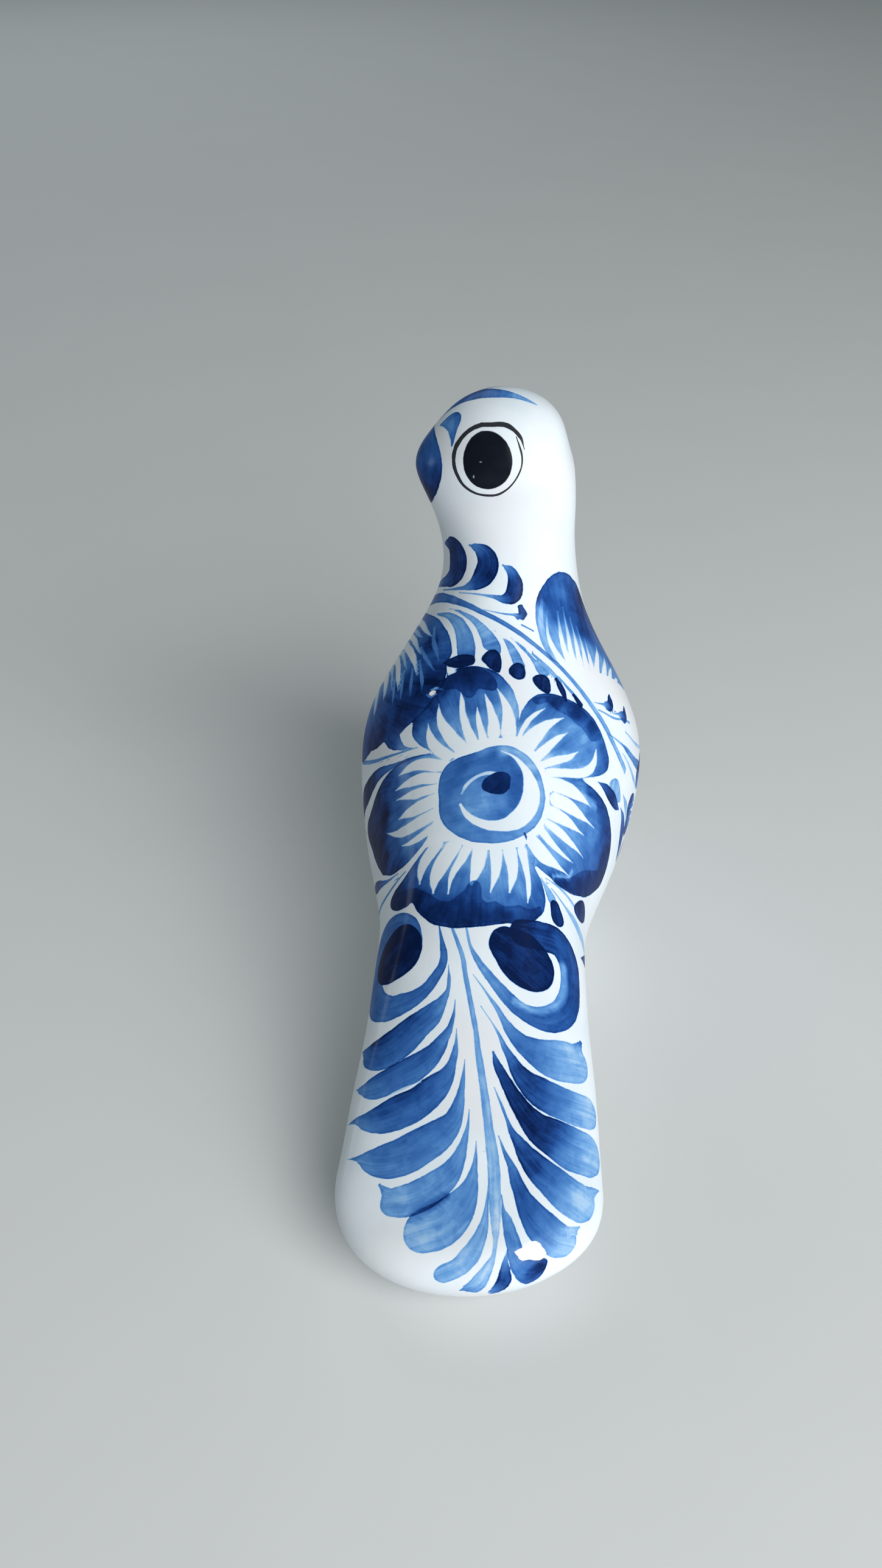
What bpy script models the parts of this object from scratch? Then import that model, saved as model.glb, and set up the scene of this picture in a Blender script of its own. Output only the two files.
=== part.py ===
"""A hand-painted glazed earthenware bird that sits on its belly with its head turned to its left.

The real figure is moulded in one piece and closed all round, so it is one closed solid here.
Frame: metres, +Z up, origin at the middle of the flat belly foot, on the surface that the bird stands on.
The breast faces -Y, the tail points to +Y, and the bird's left side is +X.
"""
import math

import bmesh
import bpy
import numpy as np
from mathutils import Vector

# Driving sizes of the figure
BODY_LENGTH = 0.2220        # tail end to the front of the breast
BODY_HEIGHT = 0.1735        # foot to the top of the crown
BODY_WIDTH = 0.0900         # across the shoulders

# Where the foot's middle lies, measured forward from the tail end
FOOT_FROM_TAIL_END = 0.1460

# Roundings at the two ends of the form
TAIL_END_PLAN_ROUND = 0.0285    # how far in from the tail end it reaches its full width
TAIL_END_EDGE_ROUND = 0.0120    # how far in from the tail end it reaches its full thickness
CROWN_ROUND = 0.0245            # height of the dome that closes the head
SECTION_FULLNESS = 2.15         # 2 gives elliptical sections, more gives fuller shoulders

# Smoothness of the solid
SIDES = 64
TAIL_END_RINGS = 9
BODY_RINGS = 52
CROWN_RINGS = 8
FOOT_EDGE_MERGE = 0.0005        # points this close to the foot's plane are moved on to it

# The figure's proportions, from the tail end over the back to the crown.
# Each row: the point on the line of the back, the point facing it on the line of the tail's
# underside, belly, breast and throat (both along the body length and up the body height),
# then half the width and the swing to the bird's left (both as shares of the body width),
# and how much the section slims towards the bill.
PROFILE = (
    ("tail end",   (-0.014, 0.120), (0.014, 0.004), 0.42, 0.020, 0.00),
    ("tail",       (0.072, 0.151), (0.104, 0.024), 0.40, -0.010, 0.00),
    ("tail root",  (0.203, 0.227), (0.248, 0.058), 0.37, -0.010, 0.00),
    ("waist",      (0.338, 0.329), (0.414, 0.058), 0.34, 0.000, 0.00),
    ("saddle",     (0.450, 0.424), (0.563, -0.029), 0.36, 0.010, 0.00),
    ("back",       (0.559, 0.510), (0.730, -0.029), 0.46, 0.000, 0.00),
    ("shoulder",   (0.653, 0.588), (0.928, 0.098), 0.49, -0.010, 0.00),
    ("neck root",  (0.707, 0.669), (1.000, 0.352), 0.32, -0.010, 0.00),
    ("lower neck", (0.730, 0.755), (0.950, 0.582), 0.23, -0.010, 0.00),
    ("neck",       (0.739, 0.824), (0.910, 0.749), 0.24, 0.015, 0.00),
    ("throat",     (0.734, 0.870), (0.910, 0.847), 0.26, 0.045, 0.12),
    ("bill",       (0.730, 0.911), (0.910, 0.905), 0.25, 0.045, 0.26),
    ("brow",       (0.732, 0.957), (0.908, 0.951), 0.25, 0.030, 0.32),
    ("crown",      (0.739, 1.014), (0.901, 1.009), 0.27, 0.025, 0.30),
)

GLAZE_WHITE = (0.86, 0.88, 0.90, 1.0)
GLAZE_ROUGHNESS = 0.28


def smooth_curve(points):
    """A natural cubic spline through the rows of points, as a function of the row number."""
    count = len(points)
    matrix = np.zeros((count, count))
    right = np.zeros(points.shape)
    for row in range(count):
        before = max(row - 1, 0)
        after = min(row + 1, count - 1)
        matrix[row, before] += 1.0
        matrix[row, after] += 1.0
        matrix[row, row] += 4.0 if before < row < after else 1.0
        right[row] = 3.0 * (points[after] - points[before])
    slopes = np.linalg.solve(matrix, right)

    def at(position):
        row = np.clip(np.floor(position).astype(int), 0, count - 2)
        part = (position - row)[:, None]
        start, end = points[row], points[row + 1]
        leave, arrive = slopes[row], slopes[row + 1]
        return (start + leave * part
                + (3.0 * (end - start) - 2.0 * leave - arrive) * part ** 2
                + (2.0 * (start - end) + leave + arrive) * part ** 3)

    return at


def profile_in_metres():
    """Rows of back Y, back Z, belly Y, belly Z, half width, swing and slimming."""
    rows = []
    for name, back, belly, half_width, swing, slimming in PROFILE:
        rows.append((FOOT_FROM_TAIL_END - back[0] * BODY_LENGTH, back[1] * BODY_HEIGHT,
                     FOOT_FROM_TAIL_END - belly[0] * BODY_LENGTH, belly[1] * BODY_HEIGHT,
                     half_width * BODY_WIDTH, swing * BODY_WIDTH, slimming))
    return np.array(rows)


def ring_positions(curve, last_row):
    """Places along the profile, close together where the tail end and the crown turn over."""
    fine = np.linspace(0.0, last_row, 4000)
    rows = curve(fine)
    from_tail_end = FOOT_FROM_TAIL_END - 0.5 * (rows[:, 0] + rows[:, 2])
    height = 0.5 * (rows[:, 1] + rows[:, 3])
    tail_turn = np.linspace(0.0, 0.5 * math.pi, TAIL_END_RINGS + 1)
    crown_turn = np.linspace(0.0, 0.5 * math.pi, CROWN_RINGS + 1)
    tail = np.interp(TAIL_END_PLAN_ROUND * (1.0 - np.cos(tail_turn)), from_tail_end, fine)
    crown = np.interp(BODY_HEIGHT - CROWN_ROUND * (1.0 - np.sin(crown_turn)), height, fine)
    body = np.linspace(tail[-1], crown[0], BODY_RINGS + 1)
    return np.concatenate((tail, body[1:-1], crown))


def end_factor(distance, reach):
    """Grows from 0 at an end to 1 at the full section, as a quarter of an ellipse."""
    short = np.clip(1.0 - distance / reach, 0.0, 1.0)
    return np.sqrt(1.0 - short ** 2)


def section_points(row):
    """The points around one section, starting on the back and turning to the bird's left."""
    back, belly = np.array(row[0:2]), np.array(row[2:4])
    half_width, swing, slimming = row[4], row[5], row[6]
    middle = 0.5 * (back + belly)
    half_depth = 0.5 * (back - belly)
    tail_distance = FOOT_FROM_TAIL_END - middle[0]
    crown_distance = max(BODY_HEIGHT - middle[1], 0.0)
    dome = end_factor(crown_distance, CROWN_ROUND)
    wide = end_factor(tail_distance, TAIL_END_PLAN_ROUND) * dome
    deep = end_factor(tail_distance, TAIL_END_EDGE_ROUND) * dome
    angle = np.linspace(0.0, 2.0 * math.pi, SIDES, endpoint=False)
    across, along = np.sin(angle), np.cos(angle)
    across_full = np.sign(across) * np.abs(across) ** (2.0 / SECTION_FULLNESS)
    along_full = np.sign(along) * np.abs(along) ** (2.0 / SECTION_FULLNESS)
    slim = 1.0 - slimming * np.clip(across, 0.0, 1.0) ** 2
    x = swing + half_width * wide * across_full
    y = middle[0] + half_depth[0] * deep * along_full * slim
    z = middle[1] + half_depth[1] * deep * along_full * slim
    return np.stack((x, y, z), axis=1)


def loft(sections):
    """Joins the sections into one closed skin; the first and last ones have shrunk to a point."""
    mesh = bmesh.new()
    first = mesh.verts.new(sections[0].mean(axis=0))
    last = mesh.verts.new(sections[-1].mean(axis=0))
    rings = []
    for section in sections[1:-1]:
        rings.append([mesh.verts.new(point) for point in section])
    for side in range(SIDES):
        following = (side + 1) % SIDES
        mesh.faces.new((first, rings[0][following], rings[0][side]))
        mesh.faces.new((last, rings[-1][side], rings[-1][following]))
        for lower, upper in zip(rings, rings[1:]):
            mesh.faces.new((lower[side], lower[following], upper[following], upper[side]))
    bmesh.ops.recalc_face_normals(mesh, faces=mesh.faces)
    return mesh


def flatten_foot(mesh):
    """Cuts the belly off flat on the standing surface and closes the cut with one face."""
    for corner in mesh.verts:
        if abs(corner.co.z) < FOOT_EDGE_MERGE:
            corner.co.z = 0.0
    geometry = mesh.verts[:] + mesh.edges[:] + mesh.faces[:]
    bmesh.ops.bisect_plane(mesh, geom=geometry, dist=1e-6, plane_co=Vector((0.0, 0.0, 0.0)),
                           plane_no=Vector((0.0, 0.0, 1.0)), clear_inner=True)
    rim = [edge for edge in mesh.edges if edge.is_boundary]
    bmesh.ops.contextual_create(mesh, geom=rim)
    bmesh.ops.recalc_face_normals(mesh, faces=mesh.faces)


def glaze_material():
    material = bpy.data.materials.new("white_glaze")
    material.use_nodes = True
    shader = material.node_tree.nodes["Principled BSDF"]
    shader.inputs["Base Color"].default_value = GLAZE_WHITE
    shader.inputs["Roughness"].default_value = GLAZE_ROUGHNESS
    shader.inputs["Metallic"].default_value = 0.0
    return material


def build_bird():
    rows = profile_in_metres()
    curve = smooth_curve(rows)
    positions = ring_positions(curve, len(rows) - 1.0)
    sections = [section_points(row) for row in curve(positions)]
    mesh = loft(sections)
    flatten_foot(mesh)
    data = bpy.data.meshes.new("ceramic_bird")
    mesh.to_mesh(data)
    mesh.free()
    data.materials.append(glaze_material())
    bird = bpy.data.objects.new("ceramic_bird", data)
    bpy.context.scene.collection.objects.link(bird)
    data.shade_smooth()
    data.set_sharp_from_angle(angle=math.radians(35.0))
    return bird


for old in list(bpy.data.objects):
    bpy.data.objects.remove(old)
build_bird()
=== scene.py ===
# %% [markdown]
# # A hand-painted ceramic bird
# The real thing is a folk-art dove of thin earthenware. It is pressed in a mould, covered with a white
# glaze and painted freehand with one blue, thinned with more or less water. It has no separate parts, so
# this lesson makes one closed body, and most of the work is the painting. Every length is in metres, in the
# frame of the measured solid, and the painting is laid out in millimetres.

# %% Load the measured solid
import math

import bpy
import numpy as np
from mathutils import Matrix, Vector


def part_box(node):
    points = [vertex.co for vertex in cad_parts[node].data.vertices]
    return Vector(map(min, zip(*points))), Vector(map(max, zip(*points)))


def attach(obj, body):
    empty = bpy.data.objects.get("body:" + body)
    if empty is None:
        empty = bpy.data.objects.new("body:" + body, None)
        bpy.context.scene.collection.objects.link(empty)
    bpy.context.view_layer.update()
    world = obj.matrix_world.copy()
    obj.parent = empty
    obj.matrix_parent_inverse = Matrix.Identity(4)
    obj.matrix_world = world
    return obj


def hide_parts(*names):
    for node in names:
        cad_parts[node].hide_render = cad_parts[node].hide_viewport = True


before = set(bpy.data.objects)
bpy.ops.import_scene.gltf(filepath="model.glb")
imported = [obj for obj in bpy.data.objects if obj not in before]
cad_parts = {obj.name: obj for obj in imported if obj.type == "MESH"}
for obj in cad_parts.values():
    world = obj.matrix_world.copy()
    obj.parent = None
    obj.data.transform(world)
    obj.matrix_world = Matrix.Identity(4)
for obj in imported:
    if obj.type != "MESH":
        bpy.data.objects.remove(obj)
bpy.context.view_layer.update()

MM = 1000.0     # millimetres in a metre
low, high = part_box("ceramic_bird")
print("measured solid, mm:", [round(size * MM, 1) for size in high - low])

# %% [markdown]
# ## The body's shape
# The bird is described by fourteen slices from the tail end over the back to the crown. Each slice has a
# point on the back, a point facing it on the belly, a half width and a swing to the side. A smooth curve
# runs through them. These are the same proportions that the measured solid was made with, so the painted
# skin fits it.

# %% Slices of the body
BODY_LENGTH = 0.2220
BODY_HEIGHT = 0.1735
BODY_WIDTH = 0.0900
FOOT_FROM_TAIL_END = 0.1460
TAIL_END_PLAN_ROUND = 0.0285
TAIL_END_EDGE_ROUND = 0.0120
CROWN_ROUND = 0.0245
SECTION_FULLNESS = 2.15
# Along and up on the back, along and up on the belly, half width, swing, slimming towards the bill.
# Places along the body and up it are shares of its length and height, widths and swings of its width.
SLICES = np.array([
    (-0.014, 0.120, 0.014, 0.004, 0.42, 0.020, 0.00),       # tail end
    (0.072, 0.151, 0.104, 0.024, 0.40, -0.010, 0.00),       # tail
    (0.203, 0.227, 0.248, 0.058, 0.37, -0.010, 0.00),       # tail root
    (0.338, 0.329, 0.414, 0.058, 0.34, 0.000, 0.00),        # waist
    (0.450, 0.424, 0.563, -0.029, 0.36, 0.010, 0.00),       # saddle
    (0.559, 0.510, 0.730, -0.029, 0.46, 0.000, 0.00),       # back
    (0.653, 0.588, 0.928, 0.098, 0.49, -0.010, 0.00),       # shoulder
    (0.707, 0.669, 1.000, 0.352, 0.32, -0.010, 0.00),       # neck root
    (0.730, 0.755, 0.950, 0.582, 0.23, -0.010, 0.00),       # lower neck
    (0.739, 0.824, 0.910, 0.749, 0.24, 0.015, 0.00),        # neck
    (0.734, 0.870, 0.910, 0.847, 0.26, 0.045, 0.12),        # throat
    (0.730, 0.911, 0.910, 0.905, 0.25, 0.045, 0.26),        # bill
    (0.732, 0.957, 0.908, 0.951, 0.25, 0.030, 0.32),        # brow
    (0.739, 1.014, 0.901, 1.009, 0.27, 0.025, 0.30),        # crown
])
slices = SLICES * (-BODY_LENGTH, BODY_HEIGHT, -BODY_LENGTH, BODY_HEIGHT, BODY_WIDTH, BODY_WIDTH, 1.0)
slices[:, (0, 2)] += FOOT_FROM_TAIL_END


# %% A smooth curve through the slices
def smooth_curve(points):
    """A natural cubic curve through the rows, as a function of the row number."""
    count = len(points)
    matrix = np.zeros((count, count))
    right = np.zeros(points.shape)
    for row in range(count):
        before = max(row - 1, 0)
        after = min(row + 1, count - 1)
        matrix[row, before] += 1.0
        matrix[row, after] += 1.0
        matrix[row, row] += 4.0 if before < row < after else 1.0
        right[row] = 3.0 * (points[after] - points[before])
    slopes = np.linalg.solve(matrix, right)

    def at(position):
        row = np.clip(np.floor(position).astype(int), 0, count - 2)
        part = (position - row)[:, None]
        start, end = points[row], points[row + 1]
        leave, arrive = slopes[row], slopes[row + 1]
        return (start + leave * part
                + (3.0 * (end - start) - 2.0 * leave - arrive) * part ** 2
                + (2.0 * (start - end) + leave + arrive) * part ** 3)

    return at


def end_factor(distance, reach):
    """Grows from 0 at an end to 1 at the full slice, as a quarter of an ellipse."""
    return np.sqrt(1.0 - np.clip(1.0 - distance / reach, 0.0, 1.0) ** 2)


def ring_of(rows, angle):
    """Points around each slice. Angle 0 is on the back and it turns to the bird's left."""
    middle = 0.5 * (rows[:, 0:2] + rows[:, 2:4])
    half_depth = 0.5 * (rows[:, 0:2] - rows[:, 2:4])
    dome = end_factor(np.maximum(BODY_HEIGHT - middle[:, 1], 0.0), CROWN_ROUND)
    tail_gap = np.maximum(FOOT_FROM_TAIL_END - middle[:, 0], 0.0)
    wide = end_factor(tail_gap, TAIL_END_PLAN_ROUND) * dome
    deep = (end_factor(tail_gap, TAIL_END_EDGE_ROUND) * dome)[:, None]
    across, along = np.sin(angle), np.cos(angle)
    across_full = np.sign(across) * np.abs(across) ** (2.0 / SECTION_FULLNESS)
    along_full = np.sign(along) * np.abs(along) ** (2.0 / SECTION_FULLNESS)
    slim = deep * along_full * (1.0 - rows[:, 6:7] * np.clip(across, 0.0, 1.0) ** 2)
    x = rows[:, 5:6] + (rows[:, 4] * wide)[:, None] * across_full
    y = middle[:, 0:1] + half_depth[:, 0:1] * slim
    z = middle[:, 1:2] + half_depth[:, 1:2] * slim
    return np.stack((x, y, z), axis=-1)


# %% [markdown]
# ## Where the rings go
# A ball has rings and poles, which is what this body needs: one pole at the crown and one at the tail end.
# So the piece starts as a ball with many rings, and each ring is pulled to its own slice. The rings are
# spread evenly over the back, with a little regard to the breast, because most of the painting lies on the
# back.

# %% Spread the rings
RINGS = 332             # steps from the tail end to the crown
AROUND = 288            # points in each ring
BELLY_SHARE = 0.35      # how much the breast and belly count in the spread of the rings, next to the back
BACK_CROWDING = 0.25    # how much closer the points stand on the back than on the belly
# How finely the curve is measured near its end, as a whole, along the back, and round a slice
END_SAMPLES, WHOLE_SAMPLES, LINE_SAMPLES, RIM_SAMPLES = 400, 4000, 6000, 361

curve = smooth_curve(slices)
tail_part = np.linspace(0.0, 1.0, END_SAMPLES)
first_place = np.interp(0.0, FOOT_FROM_TAIL_END - curve(tail_part)[:, (0, 2)].mean(axis=1), tail_part)
whole = np.linspace(0.0, len(slices) - 1.0, WHOLE_SAMPLES)
last_place = np.interp(BODY_HEIGHT, curve(whole)[:, (1, 3)].mean(axis=1), whole)
even = 0.5 - 0.5 * np.cos(np.linspace(0.0, math.pi, LINE_SAMPLES))
places = first_place + (last_place - first_place) * even
lines = ring_of(curve(places), np.array((0.0, math.pi)))
lines[..., 2] = np.maximum(lines[..., 2], 0.0)
steps = np.linalg.norm(np.diff(lines, axis=0), axis=-1)
run = np.concatenate((np.zeros((1, 2)), np.cumsum(steps, axis=0)))
back_run = run[:, 0]
shared_run = back_run + BELLY_SHARE * run[:, 1]
ring_run = np.linspace(0.0, shared_run[-1], RINGS + 1)
ring_place = np.interp(ring_run, shared_run, places)
ring_v = np.interp(ring_run, shared_run, back_run) * MM
print("back line from tail end to crown, mm:", round(ring_v[-1], 1))


# %% Spread the points around each ring
def half_rings(side):
    """The points of every ring's half from the back to the belly, and how far round each one lies."""
    rows = curve(ring_place)
    angle = np.linspace(0.0, math.pi, RIM_SAMPLES) * side
    rim = ring_of(rows, angle)
    rim[..., 2] = np.maximum(rim[..., 2], 0.0)
    rim_run = np.cumsum(np.linalg.norm(np.diff(rim, axis=1), axis=-1), axis=1)
    rim_run = np.concatenate((np.zeros((len(rows), 1)), rim_run), axis=1)
    share = np.linspace(0.0, 1.0, AROUND // 2 + 1)
    share = (1.0 - BACK_CROWDING) * share + BACK_CROWDING * share ** 5
    round_run = rim_run[:, -1:] * share
    turns = np.stack([np.interp(wanted, known, angle) for wanted, known in zip(round_run, rim_run)])
    return ring_of(rows, turns), round_run * MM


left_points, left_run = half_rings(1.0)
right_points, right_run = half_rings(-1.0)
print("half way round the shoulder, mm:", round(left_run[:, -1].max(), 1))

# %% [markdown]
# ## Pull the ball into the bird
# A potter's mould gives a soft form without a straight line in it. Box modelling would need many rounds of
# smoothing to get there, and a sculpting brush can't be run from a script, so the ball's points are pulled
# to their places in code. The chart is found on the way: u runs round the body from the line of the back,
# positive to the bird's right, and v runs along the back from the tail end. A painter would mark the same
# two lines.

# %% Add the ball
bpy.ops.object.select_all(action="DESELECT")
bpy.ops.mesh.primitive_uv_sphere_add(segments=AROUND, ring_count=RINGS, radius=1.0)
bird = bpy.context.active_object
bird.name = "painted_bird"
bird.data.name = "painted_bird"
count = len(bird.data.vertices)
ball = np.zeros(count * 3, np.float32)
bird.data.vertices.foreach_get("co", ball)
ball = ball.reshape(-1, 3).astype(float)
station = RINGS - np.rint(np.arccos(np.clip(ball[:, 2], -1.0, 1.0)) / math.pi * RINGS).astype(int)
turn = np.arctan2(ball[:, 1], ball[:, 0]) / math.pi
step = np.rint(np.abs(turn) * AROUND / 2).astype(int)
step[(station == 0) | (station == RINGS)] = 0
on_right = turn > 0.0
place = np.where(on_right[:, None], right_points[station, step], left_points[station, step])
U = np.where(on_right, right_run[station, step], -left_run[station, step])
V = ring_v[station]
print("points on the ball:", count)


# %% [markdown]
# ## Soft foot, hand-made unevenness and the chips
# The belly is flattened where the bird stands, and the glaze rounds the foot's edge. A pressed body is
# never quite true, so the skin swells and sinks by a quarter of a millimetre. Near the tail end the glaze
# has flaked off and left a shallow hollow with a crisp rim, and a much smaller flake is gone from the left
# shoulder.

# %% Tools for lines and outlines
def smooth_line(points, closed=False, spacing=0.4):
    """A flowing line through the points, resampled at even steps. Extra columns flow with it."""
    points = np.array(points, float)
    if closed:
        points = np.concatenate((points[-3:], points, points[:3]))
    gaps = np.linalg.norm(np.diff(points[:, :2], axis=0), axis=1)
    run_to = np.concatenate(((0.0,), np.cumsum(gaps)))
    slopes = np.gradient(points, run_to, axis=0)
    start, end = (run_to[3], run_to[-3]) if closed else (0.0, run_to[-1])
    wanted = np.linspace(start, end, max(int((end - start) / spacing), 2) + 1)
    row = np.clip(np.searchsorted(run_to, wanted, side="right") - 1, 0, len(points) - 2)
    size = gaps[row][:, None]
    part = (wanted - run_to[row])[:, None] / size
    here, there = points[row], points[row + 1]
    leave, arrive = slopes[row] * size, slopes[row + 1] * size
    line = (here + leave * part + (3.0 * (there - here) - 2.0 * leave - arrive) * part ** 2
            + (2.0 * (here - there) + leave + arrive) * part ** 3)
    return line, wanted - start, np.interp(wanted, run_to, np.arange(len(points)) / (len(points) - 1.0))


def outline_distance(points, outline):
    """How far each point is outside a closed outline; inside it is negative."""
    ends = np.roll(outline, -1, axis=0)
    nearest = np.full(len(points), 1e9)
    inside = np.zeros(len(points), bool)
    for start, end in zip(outline, ends):
        edge = end - start
        off = points - start
        part = np.clip((off @ edge) / max(edge @ edge, 1e-9), 0.0, 1.0)
        nearest = np.minimum(nearest, np.hypot(*(off - part[:, None] * edge).T))
        crosses = (start[1] > points[:, 1]) != (end[1] > points[:, 1])
        rise = edge[1] if abs(edge[1]) > 1e-9 else 1e-9
        inside ^= crosses & (points[:, 0] < start[0] + (points[:, 1] - start[1]) * edge[0] / rise)
    return np.where(inside, -nearest, nearest)


def gentle_step(value):
    """A soft step from 0 to 1."""
    value = np.clip(value, 0.0, 1.0)
    return value * value * (3.0 - 2.0 * value)


# %% Shape the skin
# The outlines of the two chips on the chart
CHIP = [(13.8, 15.0), (15.0, 15.7), (16.2, 16.3), (17.0, 17.2), (17.8, 18.0), (19.0, 18.2), (20.0, 17.9),
        (21.0, 17.0), (22.0, 16.3), (22.5, 15.5), (22.0, 14.7), (21.0, 14.0), (19.5, 13.7), (18.5, 13.8),
        (17.5, 13.5), (16.5, 13.1), (15.5, 13.6), (14.8, 14.3)]
SMALL_CHIP = [(-22.1, 169.6), (-21.9, 170.4), (-20.9, 170.9), (-19.9, 170.7), (-19.5, 170.1),
              (-20.2, 169.5), (-21.1, 169.1)]
UNEVENNESS = 0.00022    # how far the skin swells and sinks
FOOT_SOFTNESS = 0.003   # height over which the foot's edge turns under
RIM_LIFT = 0.25         # how far the foot's rim is lifted, as a share of that height
CHIP_DEPTH = 0.00045
CHIP_WALL = 0.8         # width of the chip's sloping rim, mm

chart = np.stack((U, V), axis=1)
rows = curve(ring_place)[station]
axis = np.stack((rows[:, 5], 0.5 * (rows[:, 0] + rows[:, 2]), 0.5 * (rows[:, 1] + rows[:, 3])), axis=1)
outward = place - axis
outward /= np.maximum(np.linalg.norm(outward, axis=1, keepdims=True), 1e-6)
x, y, z = (place * MM).T
# long soft waves, and half as strong ones that are shorter
swell = np.sin(0.071 * x + 0.083 * y + 0.8) * np.sin(0.093 * z - 0.052 * y + 2.1)
swell += 0.5 * np.sin(0.19 * x - 0.13 * z + 0.4) * np.sin(0.17 * y + 0.11 * z)
chip_gap = np.minimum(outline_distance(chart, np.array(CHIP)), outline_distance(chart, np.array(SMALL_CHIP)))
sunk = gentle_step(-chip_gap / CHIP_WALL)
place = place + outward * (UNEVENNESS * swell - CHIP_DEPTH * sunk)[:, None]
soft = np.clip(1.0 - np.abs(place[:, 2]) / FOOT_SOFTNESS, 0.0, 1.0)
place[:, 2] = np.maximum(place[:, 2], 0.0) + RIM_LIFT * FOOT_SOFTNESS * soft ** 2
bird.data.vertices.foreach_set("co", place.astype(np.float32).ravel())
bird.data.update()
print("deepest point of the chips, mm:", round(CHIP_DEPTH * MM * sunk.max(), 2))

# %% Close and smooth the skin
bird.data.uv_layers[0].name = "OFBake"
bpy.ops.object.mode_set(mode="EDIT")
bpy.ops.mesh.select_all(action="SELECT")
bpy.ops.mesh.normals_make_consistent(inside=False)
bpy.ops.object.mode_set(mode="OBJECT")
bpy.ops.object.shade_smooth()
print("triangles:", sum(len(face.vertices) - 2 for face in bird.data.polygons))
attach(bird, "root")
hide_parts("ceramic_bird")

# %% [markdown]
# ## Paint as coats of strokes
# The painter loads a soft brush and lays each feather in one stroke, wide where the brush is pressed down
# and hair-thin where it lifts. An image would hold that as dots. Here each coat is kept on the body's
# points as the distance to its nearest stroke, the stroke's width and its tone, and the glaze material
# works out the edge and the brush marks from that. So the edges stay crisp however near the camera comes.
# Strokes that touch go into different coats. White wedges are strokes too: they wipe the colour away.

# %% Coats and charts
FAR = 50.0              # the distance given to points that no stroke is near, mm
REACH = 6.0             # how far beyond its edge a stroke is still known, mm
PATCH_BASE = 20.0       # a filled outline is kept as a stroke of this half width, mm
BACK_UP_TO = 236.0      # where the back's chart stops, mm along the back
HEAD_FROM = 112.0       # where the chart of the head's sides starts, mm up
SIDES_FROM = 9.0        # where the charts of the two sides start, mm from the middle
BREAST_FROM = 186.0     # where the breast's chart starts, mm from the tail end
CROWN_FROM = 148.0      # where the crown's chart starts, mm up

x, y, z = (place * MM).T
along_body = FOOT_FROM_TAIL_END * MM - y
seen_from_front = np.stack((x, z), axis=1)
seen_from_side = np.stack((along_body, z), axis=1)
back_chart = (chart, V < BACK_UP_TO)
profile_chart = (seen_from_front, z > HEAD_FROM)
left_chart, right_chart = (seen_from_side, x > SIDES_FROM), (seen_from_side, x < -SIDES_FROM)
breast_chart = (seen_from_front, along_body > BREAST_FROM)
crown_chart = (np.stack((x, along_body), axis=1), z > CROWN_FROM)


class Coat:
    """Strokes that lie side by side in one coat, as numbers on the body's points."""

    def __init__(self, name):
        self.name = name
        self.gap = np.full(count, FAR)
        self.shape = np.tile((FAR, FAR, 0.0), (count, 1))
        self.body = np.zeros((count, 3))
        self.marks = 0      # a running number, so that no two strokes have the same brush marks

    def lay(self, near, gap, shape, body):
        closer = gap < self.gap[near]
        spot = near[closer]
        self.gap[spot] = gap[closer]
        self.shape[spot] = shape[closer]
        self.body[spot] = body[closer]
        self.marks += 1


coats = [Coat(name) for name in ("petals", "wipes_a", "wipes_b", "wash_1", "wash_2", "wash_3", "clean",
                                 "touch", "eye_line", "eye_line_end")]
petals, wipes_a, wipes_b, wash_1, wash_2, wash_3, clean, touch, eye_line, eye_line_end = coats
WIPES = (wipes_a, wipes_b)      # wiping strokes take these two by turns, so that neighbours stay apart
print("coats:", len(coats))


def painted_points():
    """How many of the body's points each coat covers so far."""
    return {coat.name: int((coat.gap < 0.0).sum()) for coat in coats if coat.gap.min() < 0.0}


def near_points(where, line, reach):
    """The numbers of the body's points in a chart that lie around a line."""
    spots, known = where
    low_side, high_side = line[:, :2].min(axis=0) - reach, line[:, :2].max(axis=0) + reach
    return np.flatnonzero(known & (spots > low_side).all(axis=1) & (spots < high_side).all(axis=1))


# %% One stroke of the brush
FINEST = 0.06           # half the width of the finest hair, mm
PALEST = 0.03           # the least tone that paint can have
SEED_STEP = 50.0        # how far apart two strokes lie in the pattern of brush marks
BATCH = 6000            # points worked on at a time, to spare memory


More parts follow.
